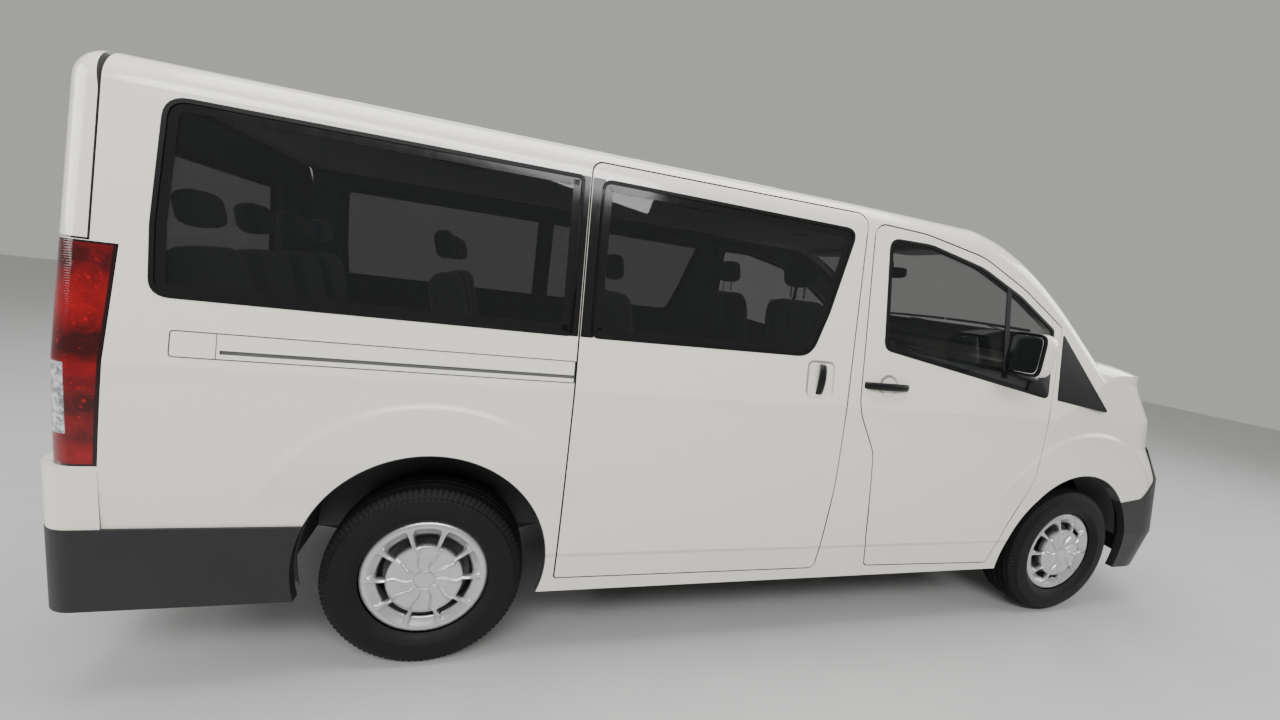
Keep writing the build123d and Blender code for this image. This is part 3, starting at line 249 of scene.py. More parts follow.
def glassShade(name, color, alpha):
    # tinted glass, seen through in part
    shade = Shade(name, Roughness=0.015, IOR=1.5, Coat_Weight=0.3)
    haze = shade.noise(4.0)
    shade.tone(haze, color, 0.8, 1.2)
    shade.feed("Alpha", haze * 0.03 + alpha)
    return shade


def fabric(name, color, sheen, scale, spread, rough):
    # woven cloth whose colour is mottled finely
    shade = Shade(name, Sheen_Weight=sheen)
    shade.tone(shade.noise(scale[0]), color, *spread)
    shade.feed("Roughness", shade.noise(scale[1]) * 0.1 + rough)
    return shade


whitePaint = paintShade("whitePaint", colors["trim"])
roofPaint = paintShade("roofPaint", colors["lining"])
bumperPlastic = plastic("bumperPlastic", colors["bumper"], 700.0, 0.46, shine=0.28)
trimPlastic = plastic("trimPlastic", colors["black"], 1200.0, 0.32, 0.1, 0.25)
satinBlack = plastic("satinBlack", colors["black"], 900.0, 0.38, 0.05, 0.16)
cabinPlastic = plastic("cabinPlastic", colors["trim"], 900.0, 0.55)
blackGloss = plastic("blackGloss", colors["black"], 300.0, 0.1, 0.02, 0.35)
jointShade = plastic("jointShade", (0.05, 0.05, 0.05), 800.0, 0.7)
tyreRubber = plastic("tyreRubber", colors["rubber"], 500.0, 0.6, 0.2, 0.22)
tyreRubber.feed("Roughness", tyreRubber.noise(12.0) * 0.15 + 0.55)
underbodyPaint = metal("underbodyPaint", colors["underbody"], 0.6, 0.0)
axleIron = metal("axleIron", (0.03, 0.03, 0.031), 0.55, 0.4)
rimSteel = metal("rimSteel", (0.1, 0.1, 0.105), 0.45, 0.5)
railSteel = metal("railSteel", (0.16, 0.16, 0.165), 0.4, 0.6)
wheelSilver = metal("wheelSilver", colors["silver"], 0.3, 0.7, 0.4)
chrome = metal("chrome", (0.8, 0.81, 0.82), 0.12, 1.0)
mirrorGlass = metal("mirrorGlass", (0.55, 0.58, 0.6), 0.06, 1.0)
lampBlack = metal("lampBlack", (0.05, 0.052, 0.056), 0.25, 0.3)
plateShade = metal("plateShade", (0.72, 0.72, 0.7), 0.4, 0.0)
redGlow = metal("redGlow", (0.36, 0.004, 0.006), 0.12, 0.0, 0.8)
amberLens = metal("amberLens", (0.75, 0.25, 0.02), 0.15, 0.0, 0.6)
clearLens = metal("clearLens", (0.62, 0.64, 0.67), 0.12, 0.5, 0.8)
privacyGlass = glassShade("privacyGlass", (0.004, 0.005, 0.006), 0.46)
frontGlass = glassShade("frontGlass", (0.01, 0.013, 0.012), 0.24)
lensGlass = glassShade("lensGlass", (0.75, 0.77, 0.8), 0.16)

# Windscreen: clear in the middle, with a black printed edge
screen = {"halfY": 0.745, "low": 1.499, "high": 1.896, "fade": 0.003}
screenGlass = Shade("screenGlass", Roughness=0.015, IOR=1.5, Coat_Weight=0.3)
fade = screen["fade"]
sideEdge = abs(screenGlass.y).ramp(screen["halfY"] - fade, screen["halfY"] + fade)
lowEdge = screenGlass.z.ramp(screen["low"] + fade, screen["low"] - fade)
highEdge = screenGlass.z.ramp(screen["high"] - fade, screen["high"] + fade)
screenEdge = sideEdge.high(lowEdge).high(highEdge)
screenGlass.feed("Base Color", screenGlass.mix(screenEdge, colors["screen"], colors["black"]))
screenGlass.feed("Alpha", screenEdge * 0.7 + screenGlass.noise(4.0) * 0.03 + 0.26)

# Red lamp: deep red with round reflectors and fine ribs, a dark edge and a clear field low on the corner; the
# reflectors' bright patches, rings and dots are painted reflections
lampFields = {
    "bowls": (1.33, 1.215, 0.985), "bowlX": -2.435, "ribs": 900.0, "clear": (0.885, 1.092), "clearX": -2.482,
    "low": 0.7945, "high": 1.4255, "foot": (-2.412, 0.788), "lean": 0.0606,
    "bands": ((1.385, 0.05, -0.3), (1.275, 0.06, 0.3), (1.15, 0.055, -0.35), (1.075, 0.03, 0.35),
              (0.975, 0.045, -0.3), (0.83, 0.045, 0.35)),
}
redLens = Shade("redLens", Coat_Weight=0.35, Coat_Roughness=0.015, Specular_IOR_Level=0.3)
lx, lz = redLens.x, redLens.z
ribs = (lz * lampFields["ribs"]).math("SINE") * 0.5 + 0.5
# lighter and darker bands of the lamp's sections, with painted reflections: bright patches from noise, and
# bright rings and dots at the bowls
sectionsAndSheen = redLens.noise(11.0, 3.0, 0.6).ramp(0.3, 0.75) * 0.5 + 0.2
for bandZ, width, strength in lampFields["bands"]:
    sectionsAndSheen = sectionsAndSheen + abs(lz - bandZ).ramp(width, width * 0.3) * strength
for bowlZ in lampFields["bowls"]:
    reach = length(lx - lampFields["bowlX"], (lz - bowlZ) * 0.8)
    sectionsAndSheen = sectionsAndSheen + reach.ramp(0.034, 0.03) * reach.ramp(0.024, 0.03) * 0.15 + reach.ramp(0.006, 0.003)
# small painted glints in the red
paintedGlints = redLens.noise(75.0, 2.0, 0.5).ramp(0.66, 0.7) * 0.6
footX, footZ = lampFields["foot"]
lampFront = (lx - (lz - footZ) * lampFields["lean"] - footX).ramp(-0.013, -0.009)
lampTop = lz.ramp(lampFields["high"] - 0.0015, lampFields["high"] + 0.0015)
lampFoot = lz.ramp(lampFields["low"] + 0.0015, lampFields["low"] - 0.0015)
ribsAndSheen = (sectionsAndSheen * (ribs * 0.25 + 0.75) + paintedGlints).low(1.0).high(0.0)
redBase = redLens.mix(ribsAndSheen, colors["lampDark"], colors["lampRed"])
redBase = redLens.mix(lampFront.high(lampTop).high(lampFoot), redBase, colors["lampEdge"])
clearLow, clearHigh = lampFields["clear"]
clearField = lz.ramp(clearLow - 0.002, clearLow + 0.002) * lz.ramp(clearHigh + 0.002, clearHigh - 0.002)
clearField = clearField * lx.ramp(lampFields["clearX"] + 0.002, lampFields["clearX"] - 0.002)
# painted streaks of reflection in the clear field, pale and dark
clearReflection = redLens.noise(60.0, 3.0, 0.7).ramp(0.35, 0.65)
clearReflection = redLens.mix(clearReflection, colors["clearDark"], colors["clearPale"])
redLens.feed("Base Color", redLens.mix(clearField, redBase, clearReflection))
redLens.feed("Roughness", ribs * 0.08 + 0.05)
redLens.bump(ribs * 0.4 + sectionsAndSheen, 0.35, 0.001)

seatCloth = fabric("seatCloth", colors["cloth"], 0.25, (160.0, 90.0), (0.7, 1.35), 0.82)
threadX, threadY, threadZ = ((axis * 2600.0).math("SINE") for axis in (seatCloth.x, seatCloth.y, seatCloth.z))
seatCloth.bump(threadX * threadZ + threadY * 0.5, 0.4, 0.0008)
roofCloth = fabric("roofCloth", colors["lining"], 0.1, (220.0, 60.0), (0.9, 1.08), 0.84)
roofCloth.bump(roofCloth.noise(900.0), 0.3, 0.0006)
print("materials made")

# Each wheel's corner, place along the van and side; right is the negative side
sides = ((-1, "right"), (1, "left"))
axles = (("front", 1.6975), ("rear", -1.5125))
wheelPlan = tuple((f"{end}_{side}", x, sign) for end, x in axles for sign, side in sides)
nodeLooks = {
    whitePaint: ("body_side_right", "body_side_left", "front_wings", "rear_bumper", "rail_cover",
                 "sliding_door", "front_door_right", "front_door_left", "tailgate", "bonnet"),
    roofPaint: ("roof_panel",),
    bumperPlastic: ("front_bumper", "rear_cladding", "cowl_panel"),
    trimPlastic: ("sliding_handle", "handle_right", "handle_left", "mirror_right", "mirror_left", "grille"),
    privacyGlass: ("side_windows", "tailgate_window"),
    screenGlass: ("windscreen",),
    frontGlass: ("door_window_right", "door_window_left"),
    lensGlass: ("headlamps",),
    redLens: ("tail_lamps",),
    cabinPlastic: ("dashboard", "wheel_liners", "steering_wheel"),
    underbodyPaint: ("floor_pan", "chassis_frame", "seat_frames", "fuel_tank", "exhaust", "engine_block"),
    axleIron: ("rear_axle", "leaf_springs", "front_suspension", "knuckle_right", "knuckle_left"),
    wheelSilver: tuple(f"wheel_{corner}" for corner, x, sign in wheelPlan),
    tyreRubber: tuple(f"tyre_{corner}" for corner, x, sign in wheelPlan) + ("spare_wheel",),
    seatCloth: ("front_seats", "rear_seats"),
}
for shade, nodes in nodeLooks.items():
    for node in nodes:
        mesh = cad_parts[node].data
        mesh.materials.clear()
        mesh.materials.append(shade.material)
print("CAD nodes finished")

# Finish, body and slot of pieces that share all three
bodyTrim = (trimPlastic, "body", "dark_plastic")
jointLine = (jointShade, "body", "dark_plastic")
cabinBlock = (cabinPlastic, "body", "cabin_plastic")
cabinTrim = (trimPlastic, "body", "cabin_plastic")
handRim = (cabinPlastic, "hand_wheel", "cabin_plastic")
gateTrim = (trimPlastic, "rear_gate", "dark_plastic")
lampChrome = (chrome, "body", "lamp_clear")


# Mesh tools: every new piece is a grid of points or a profile carried along a path
def flankY(z):
    # half width of the body: straight to the crease, an arc to the waist, then leaning in
    z = np.asarray(z, float)
    bend = np.polyfit((0.458, 0.78, 1.1), (0.962, 0.975, 0.973), 2)
    low = 0.94 + (z - 0.29) * 0.131
    return np.where(z < 0.458, low, np.where(z < 1.1, np.polyval(bend, z), 0.973 - 0.151 * (z - 1.1)))


def onFlank(x, z, proud=0.0, side=-1):
    # places on the skin of one side, raised by an amount
    x, z = np.broadcast_arrays(np.asarray(x, float), np.asarray(z, float))
    return np.stack([x, side * (flankY(z) + proud), z], -1)


def onRear(y, z, proud=0.0, side=-1):
    # places on the rear face, an arc seen from above that leans forward as it rises
    y, z = np.broadcast_arrays(np.asarray(y, float), np.asarray(z, float))
    radius = 7.7 - 0.0189 * (z - 0.3) + proud
    return np.stack([5.088 - np.sqrt(radius**2 - y**2), y, z], -1)


def dress(name, mesh, look, smooth=40.0):
    # a mesh made a smooth piece with sharp folds, ridden and given its finish
    shade, body, slot = look
    mesh.polygons.foreach_set("use_smooth", np.ones(len(mesh.polygons), bool))
    mesh.set_sharp_from_angle(angle=math.radians(smooth))
    piece = bpy.data.objects.new(name, mesh)
    bpy.context.scene.collection.objects.link(piece)
    mesh.materials.append(shade.material)
    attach(piece, body)
    return piece


def finish(name, mesh, look, smooth=40.0):
    # doubles merged and faces turned outwards, then dressed
    work = bmesh.new()
    work.from_mesh(mesh)
    bmesh.ops.remove_doubles(work, verts=work.verts, dist=1e-5)
    bmesh.ops.recalc_face_normals(work, faces=work.faces)
    work.to_mesh(mesh)
    work.free()
    return dress(name, mesh, look, smooth)


def addWall(piece, thickness, offset=-1.0):
    wall = piece.modifiers.new("wall", "SOLIDIFY")
    wall.thickness, wall.offset = thickness, offset


def gridFaces(rows, columns, wrapRows=False, wrapColumns=False):
    # quads of a grid whose rows and columns may close on themselves
    r = np.arange(rows if wrapRows else rows - 1)
    c = np.arange(columns if wrapColumns else columns - 1)
    r, c = np.meshgrid(r, c, indexing="ij")
    up, over = (r + 1) % rows, (c + 1) % columns
    quads = [r * columns + c, up * columns + c, up * columns + over, r * columns + over]
    return np.stack(quads, -1).reshape(-1, 4)


def surface(name, points, look, wrapRows=False, wrapColumns=False, caps=False, keep=None, smooth=40.0):
    # a grid of points made into quads; caps close the first and last rows at their middles
    points = np.asarray(points, float)
    rows, columns = points.shape[:2]
    if caps:
        ends = [np.broadcast_to(points[i].mean(0), points[i].shape) for i in (0, -1)]
        points = np.concatenate([ends[0][None], points, ends[1][None]])
        rows += 2
    faces = gridFaces(rows, columns, wrapRows, wrapColumns)
    if keep is not None:
        faces = faces[keep.reshape(-1)]
    mesh = bpy.data.meshes.new(name)
    mesh.from_pydata(points.reshape(-1, 3).tolist(), [], faces.tolist())
    return finish(name, mesh, look, smooth)


def panel(low, high, radius):
    # a rectangle from its low and high corners, each corner with a radius
    return (*low, radius), (low[0], high[1], radius), (*high, radius), (high[0], low[1], radius)


def rounded(outline, steps=6):
    # corners (u, v, radius) turned into a closed run of points, each corner an arc
    table = np.asarray(outline, float)
    spots = table[:, :2]
    before = np.roll(spots, 1, 0) - spots
    after = np.roll(spots, -1, 0) - spots
    lengthBefore, lengthAfter = np.linalg.norm(before, axis=1), np.linalg.norm(after, axis=1)
    before, after = before / lengthBefore[:, None], after / lengthAfter[:, None]
    turn = np.arccos(np.clip((before * after).sum(1), -1, 1))
    reach = np.minimum(table[:, 2] / np.tan(turn / 2), 0.48 * np.minimum(lengthBefore, lengthAfter))
    t = np.linspace(0, 1, steps + 1)[None, :, None]
    a, b = (spots + before * reach[:, None])[:, None], (spots + after * reach[:, None])[:, None]
    return ((1 - t) ** 2 * a + 2 * t * (1 - t) * spots[:, None] + t**2 * b).reshape(-1, 2)


def shrunk(run, amount):
    # a closed run of points moved inwards by an amount
    step = np.roll(run, -1, 0) - np.roll(run, 1, 0)
    normal = np.stack([-step[:, 1], step[:, 0]], 1) / np.maximum(np.linalg.norm(step, axis=1), 1e-9)[:, None]
    area = (run[:, 0] * np.roll(run[:, 1], -1) - np.roll(run[:, 0], -1) * run[:, 1]).sum()
    return run + normal * amount * np.sign(area)


def band(name, outline, outer, inner, proud, depth, look, side=-1, place=onFlank):
    # a strip between two lines beside an outline on the skin, with its edges turned down
    run = rounded(outline)
    out, inn = shrunk(run, outer), shrunk(run, inner)
    rows = [place(*out.T, proud - depth, side), place(*out.T, proud, side),
            place(*inn.T, proud, side), place(*inn.T, proud - depth, side)]
    return surface(name, rows, look, wrapRows=True, wrapColumns=True, smooth=30.0)


def plate(name, outline, proud, depth, look, side=-1, rings=4, steps=6, crown=0.0, place=onFlank):
    # a closed panel on the skin: rings of the outline shrink to its middle, crowned, with a back
    run = rounded(outline, steps)
    middle = run.mean(0)
    t = np.linspace(0, 1, rings + 1)[:, None, None]
    front = run + (middle - run) * t
    heights = proud + crown * (1 - (1 - t[..., 0]) ** 2)
    face = place(front[..., 0], front[..., 1], heights, side)
    back = place(*front[::-1].transpose(2, 0, 1), proud - depth, side)
    rows = np.concatenate([face, back])
    return surface(name, rows, look, wrapRows=True, wrapColumns=True, smooth=30.0)


def turns(count):
    # angles of a full circle in equal steps
    return np.linspace(0, 2 * np.pi, count, endpoint=False)


def blob(name, centre, half, power, look, rows=24, columns=36, warp=None):
    # superellipsoid: sines and cosines of two angles raised to a power below one square it off
    v = np.linspace(-np.pi / 2, np.pi / 2, rows)[:, None]
    u = turns(columns)[None]

    def soft(wave):
        return np.sign(wave) * np.abs(wave) ** power

    points = np.stack([soft(np.cos(v)) * soft(np.cos(u)), soft(np.cos(v)) * soft(np.sin(u)),
                       soft(np.sin(v)) * np.ones_like(u)], -1) * half
    if warp:
        points = warp(points)
    return surface(name, points + centre, look, wrapColumns=True)


def along(path, section, up=(0, 0, 1), close=False):
    # a flat section carried along a path, square to it
    path = np.asarray(path, float)
    ahead = np.roll(path, -1, 0) - np.roll(path, 1, 0) if close else np.gradient(path, axis=0)
    ahead = ahead / np.linalg.norm(ahead, axis=1, keepdims=True)
    across = np.cross(ahead, np.asarray(up, float))
    across = across / np.maximum(np.linalg.norm(across, axis=1, keepdims=True), 1e-9)
    over = np.cross(across, ahead)
    section = np.asarray(section, float)
    return path[:, None] + across[:, None] * section[None, :, :1] + over[:, None] * section[None, :, 1:]


def circle(radius, count=12, flat=1.0):
    # a round section, or an oval one
    return np.stack([np.cos(turns(count)) * radius, np.sin(turns(count)) * radius * flat], 1)


def tube(name, path, radius, look, up=(0, 0, 1), count=12, flat=1.0):
    # round or flattened bar along a path
    points = along(path, circle(radius, count, flat), up)
    return surface(name, points, look, wrapColumns=True, caps=True)


def lathe(run, count, oval=(1.0, 1.0)):
    # a run of (radius, height) turned about the height axis
    run, angle = np.asarray(run, float), turns(count)
    wide, deep = run[:, :1] * np.cos(angle) * oval[0], run[:, :1] * np.sin(angle) * oval[1]
    return np.stack([wide, deep, run[:, 1:] + 0 * angle], -1)


def box(name, low, high, look, bevel=0.004):
    # moulded block with its edges rounded by a bevel
    corner = np.array([[x, y, z] for x in (0, 1) for y in (0, 1) for z in (0, 1)], float)
    points = np.asarray(low) + corner * (np.asarray(high) - np.asarray(low))
    faces = [(0, 1, 3, 2), (4, 6, 7, 5), (0, 4, 5, 1), (2, 3, 7, 6), (0, 2, 6, 4), (1, 5, 7, 3)]
    mesh = bpy.data.meshes.new(name)
    mesh.from_pydata(points.tolist(), [], faces)
    piece = finish(name, mesh, look)
    mod = piece.modifiers.new("edges", "BEVEL")
    mod.width, mod.segments, mod.limit_method = bevel, 3, "ANGLE"
    return piece


# Wheel covers: ten petals meet at raised S-curved ridges that run out into the spokes between ten windows
cover = {
    "radius": 0.221, "face": 0.1, "cap": 0.034, "disc": 0.131, "windowIn": 0.132, "windowOut": 0.161,
    "bay": 0.4, "bowl": 0.026, "bowlIn": 0.148, "bowlOut": 0.199, "petals": 10, "swirl": 0.16,
    "ridge": 0.01, "dish": 0.01, "steps": 30, "wall": 0.004, "lip": (0.204, 0.017, 0.012),
    "crestEnd": (0.207, 0.075), "step": 0.006, "capSize": (0.0365, 0.0935, 0.0065),
    "radii": (0.0352, 0.04, 0.05, 0.062, 0.075, 0.088, 0.1, 0.112, 0.122, 0.128, 0.131, 0.1318,
              0.1322, 0.14, 0.148, 0.1558, 0.1562, 0.164, 0.172, 0.18, 0.188, 0.195, 0.2, 0.206,
              0.212, 0.217, 0.22, 0.221),
}
# Rim behind the cover as radius and width, and its nuts
rimRun = ((0.03, -0.012), (0.03, 0.006), (0.07, 0.006), (0.085, 0.03), (0.15, 0.034), (0.178, 0.01),
          (0.192, 0.02), (0.1915, 0.076), (0.203, 0.0815), (0.203, -0.0815), (0.1915, -0.0815),
          (0.1915, -0.012), (0.075, -0.012))
nut = {"count": 6, "reach": 0.055, "radius": 0.01, "span": (0.004, 0.024)}
valveRun = np.array([[0.12, 0.155, 0.06], [0.121, 0.157, 0.078]])
wheelY, axleZ = 0.83, 0.35


def placedWheel(points, x, side):
    # wheel coordinates (across, up, outwards) turned to face out of one side
    return np.stack([x + points[..., 0], side * (wheelY + points[..., 2]), axleZ + points[..., 1]], -1)


def coverPoints():
    # radius rows by angle columns: each petal's angle swings with sin of the radius, and its height falls off
    # as the eighth power of the nearness to its two ridges
    n, per, disc, cap = cover["petals"], cover["steps"], cover["disc"], cover["cap"]
    r, f = np.meshgrid(np.array(cover["radii"]), np.arange(n * per) / per, indexing="ij")
    inner = np.clip((r - cap) / (disc - cap), 0, 1)
    offset = (f % 1.0) - 0.5
    angle = 2 * np.pi * f / n + cover["swirl"] * np.sin(np.pi * inner) * np.cos(np.pi * inner)
    crest = (np.abs(offset) * 2) ** 8 * cover["ridge"] * np.minimum(inner * 5, 1.0)
    step = offset * cover["step"] * np.sin(np.pi * inner)
    dome = cover["face"] - cover["dish"] * (r / cover["radius"]) ** 2 - 0.004
    onDisc = r < disc + 0.0002
    crestEnd, crestFall = cover["crestEnd"]
    height = dome + crest * np.where(onDisc, 1.0, np.clip((crestEnd - r) / crestFall, 0, 1) * 0.8) + step
    lipIn, lipWide, lipDeep = cover["lip"]
    lip = np.clip((r - lipIn) / lipWide, 0, 1)
    height = height - (1 - np.sqrt(np.clip(1 - lip**2, 0, 1))) * lipDeep
    # behind each window the ring sinks as a quarter wave towards the hub, between spokes that stay high
    sunk = np.clip((r - cover["bowlIn"]) / (cover["bowlOut"] - cover["bowlIn"]), 0, 1)
    depth = np.where(r > cover["windowIn"], np.cos(np.pi / 2 * sunk), 0.0)
    bay = np.clip((cover["bay"] + 0.025 - np.abs(offset)) / 0.05, 0, 1)
    bow = np.where(onDisc, 0.004 * np.clip((r - 0.122) / 0.009, 0, 1) ** 2, 0.0)
    points = np.stack([r * np.cos(angle), r * np.sin(angle), height - bow - cover["bowl"] * depth * bay], -1)
    middle = (r[:-1] + r[1:]) / 2
    inWindow = (middle > cover["windowIn"]) & (middle < cover["windowOut"])
    hole = inWindow & (np.abs((f[:-1] + 0.5 / per) % 1.0 - 0.5) < cover["bay"])
    return points, ~hole


coverGrid, coverKeep = coverPoints()
capRadius, capBase, capRise = cover["capSize"]
bow = np.linspace(0, 1, 7) * np.pi / 2
capGrid = lathe(np.stack([capRadius * np.sin(bow), capBase + capRise * np.cos(bow)], 1), 36)
rimGrid = lathe(rimRun, 72)
for corner, x, sign in wheelPlan:
    wheelBody = f"{corner}_wheel"
    silver, steel = ((shade, wheelBody, "wheel_silver") for shade in (wheelSilver, rimSteel))
    face = placedWheel(coverGrid, x, sign)
    piece = surface(f"wheelCover_{corner}", face, silver, wrapColumns=True, keep=coverKeep, smooth=35.0)
    addWall(piece, cover["wall"])
    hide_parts(f"wheel_{corner}")
    surface(f"wheelCap_{corner}", placedWheel(capGrid, x, sign), silver, wrapColumns=True)
    barrel = placedWheel(rimGrid, x, sign)
    surface(f"wheelRim_{corner}", barrel, steel, wrapRows=True, wrapColumns=True, smooth=30.0)
    for count in range(nut["count"]):
        a = 2 * np.pi * count / nut["count"]
        tip = np.array([[nut["reach"] * np.cos(a), nut["reach"] * np.sin(a), out] for out in nut["span"]])
        tube(f"wheelNut_{corner}_{count}", placedWheel(tip, x, sign), nut["radius"], steel, count=6)
    tube(f"valve_{corner}", placedWheel(valveRun, x, sign), 0.004, (trimPlastic, wheelBody, "tyre"), count=8)
print("wheel covers made")

# Tyres with circumferential grooves, shoulder blocks and two rings on the sidewall; half a section
tyre = {
    "blocks": 104, "columns": 6, "groove": 0.0055, "half": 0.108,
    "section": ((0.35, 0.0), (0.35, 0.011), (0.3435, 0.012), (0.3435, 0.018), (0.35, 0.019),
                (0.3495, 0.044), (0.3425, 0.045), (0.3425, 0.052), (0.349, 0.053), (0.345, 0.08),
                (0.3365, 0.089), (0.325, 0.0955), (0.32, 0.0975), (0.315, 0.1035), (0.312, 0.105),
                (0.3, 0.106), (0.27, 0.108), (0.26, 0.1078), (0.2585, 0.109), (0.256, 0.109),
                (0.2545, 0.107), (0.242, 0.103), (0.23, 0.093), (0.223, 0.0835)),
}


def tyrePoints():
    # section rows by angle columns; blocks are cut where a square wave of the angle is low
    half = np.array(tyre["section"])
    section = np.concatenate([half[::-1] * (1, -1), half[1:]])
    per = tyre["columns"]
    column = np.arange(tyre["blocks"] * per)
    angle = column * 2 * np.pi / len(column)
    radius, width = section[:, :1], section[:, 1:]
    away = np.abs(width)
    cut = (column % per >= 4)[None] & (away > 0.0535) & (radius > 0.318)
    middle = ((column + 3) % per >= 5)[None] & (away > 0.0185) & (away < 0.0445)
    radius = radius - np.where(cut, tyre["groove"] * 0.7, 0.0) - np.where(middle, tyre["groove"] * 0.5, 0.0)
    wide = np.clip(np.broadcast_to(width, radius.shape), -tyre["half"], tyre["half"])
    return np.stack([radius * np.cos(angle), radius * np.sin(angle), wide], -1)


tyreGrid = tyrePoints()
for corner, x, sign in wheelPlan:
    look = (tyreRubber, f"{corner}_wheel", "tyre")
    tread = placedWheel(tyreGrid, x, sign)
    piece = surface(f"tyre_tread_{corner}", tread, look, wrapColumns=True, smooth=25.0)
    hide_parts(f"tyre_{corner}")
print("tyres made")

# Side windows: outlines in the side view as x, z, corner radius
middleFront = ((0.084, 1.836, 0.04), (-0.02, 1.48, 0.12), (-0.09, 1.302, 0.09))
glassOutlines = {
    "quarter": ((-2.294, 1.3, 0.05), (-2.302, 1.5, 0.4), (-2.29, 1.862, 0.06),
                (-1.078, 1.852, 0.015), (-1.078, 1.296, 0.015)),
    "sliding": ((-1.004, 1.296, 0.03), (-1.004, 1.852, 0.035), *middleFront),
    "leftMiddle": ((-1.04, 1.296, 0.03), (-1.04, 1.852, 0.035), *middleFront),
    "front": ((0.282, 1.36, 0.04), (0.262, 1.826, 0.045), (0.48, 1.828, 0.4), (0.79, 1.766, 0.4),
              (1.035, 1.664, 0.5), (1.262, 1.53, 0.025), (1.262, 1.204, 0.025)),
}
cornerOutline = ((1.33, 1.196, 0.008), (1.33, 1.52, 0.008), (1.7, 1.15, 0.012))
barOutline = ((0.962, 1.284, 0.002), (0.944, 1.706, 0.002), (0.972, 1.692, 0.002), (0.99, 1.276, 0.002))
baseOutline = ((1.12, 1.236, 0.01), (1.15, 1.33, 0.06), (1.262, 1.42, 0.02), (1.262, 1.206, 0.012))
# Window, side, body and the inner line of the black border
glassPlan = (
    ("quarter", -1, "body", 0.034), ("sliding", -1, "body", 0.034), ("front", -1, "right_door", 0.016),
    ("quarter", 1, "body", 0.034), ("leftMiddle", 1, "body", 0.034), ("front", 1, "left_door", 0.016),
)
seal = (-0.006, 0.007, 0.0012, 0.006)    # outer and inner line, height above the skin, depth
border = (0.004, -0.0024, 0.001)    # outer line, height, depth


def glassEdge(label, outline, inner, shade, body, side=-1, place=onFlank):
    # a rubber seal over the gap and the printed black border of the pane, both bands beside its outline
    band(f"seal_{label}", outline, *seal, (shade, body, "dark_plastic"), side, place)
    out, proud, depth = border
    look = (blackGloss, body, "tinted_glass")
    band(f"glass_border_{label}", outline, out, inner, proud, depth, look, side, place)


for key, sign, bodyName, inner in glassPlan:
    side = "right" if sign < 0 else "left"
    glassEdge(f"{key}_{side}", glassOutlines[key], inner, satinBlack, bodyName, sign)
for sign, side in sides:
    doorName = f"{side}_door"
    satin, trim = ((shade, doorName, "dark_plastic") for shade in (satinBlack, trimPlastic))
    plate(f"window_bar_{side}", barOutline, 0.0, 0.004, satin, sign, rings=2, steps=2)
    plate(f"mirror_base_{side}", baseOutline, 0.004, 0.008, trim, sign, crown=0.004)
    plate(f"corner_trim_{side}", cornerOutline, 0.0015, 0.005, (satinBlack, "body", "dark_plastic"), sign)

# Black strips between the windows, so that the glass reads as one dark band
pillars = (("pillar_rear_right", -1.084, -1.0525, -1), ("pillar_door_right", -1.0435, -0.998, -1),
           ("pillar_rear_left", -1.084, -1.034, 1))
for name, rear, front, sign in pillars:
    strip = panel((rear, 1.292), (front, 1.856), 0.003)
    plate(name, strip, 0.0012, 0.002, (blackGloss, "body", "tinted_glass"), sign, rings=6, steps=2)
print("side windows dressed")

# Handles: name, body, side, x, z, length, upright or level, and the node that each replaces
pull = {"wide": (0.013, 0.004), "out": (0.012, 0.016), "thick": (0.002, 0.0085), "sunk": 0.012, "power": 0.35}
pullPlan = (("pull_right", "right_door", -1, 0.307, 1.2, 0.232, False, "handle_right"),
            ("pull_left", "left_door", 1, 0.307, 1.2, 0.232, False, "handle_left"),
            ("pull_sliding", "body", -1, -0.034, 1.207, 0.13, True, "sliding_handle"))
for name, bodyName, sign, x, z, reach, upright, node in pullPlan:
    # flattened bar whose thickness and width follow a sine, so its ends tuck in to the door
    t = np.linspace(0, 1, 25)
    swell = (np.sin(np.pi * t) ** pull["power"])[:, None]
    wide = (pull["wide"][0] + pull["wide"][1] * swell) * np.cos(turns(16))
    thick = (pull["thick"][0] + pull["thick"][1] * swell) * np.sin(turns(16))
    run = (t[:, None] - 0.5) * reach + 0 * wide
    px, pz = (x + wide, z + run) if upright else (x + run, z + wide)
    out = pull["out"][0] + pull["out"][1] * swell + thick - pull["sunk"]
    points = np.stack([px, sign * (flankY(z) + out), pz], -1)
    piece = surface(name, points, (trimPlastic, bodyName, "dark_plastic"), wrapColumns=True, caps=True)
    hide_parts(node)

# Mirrors: a squared shell leaning back, its rear face framing the glass
mirror = {
    "at": (0.93, 1.072, 1.412), "half": (0.05, 0.087, 0.094), "rear": 0.75, "sweep": 0.1,
    "arm": ((0.96, 1.01, 1.35), (0.99, 0.985, 1.33), (1.06, 0.962, 1.31), (1.15, 0.95, 1.29)),
    "armRadius": 0.022,
}
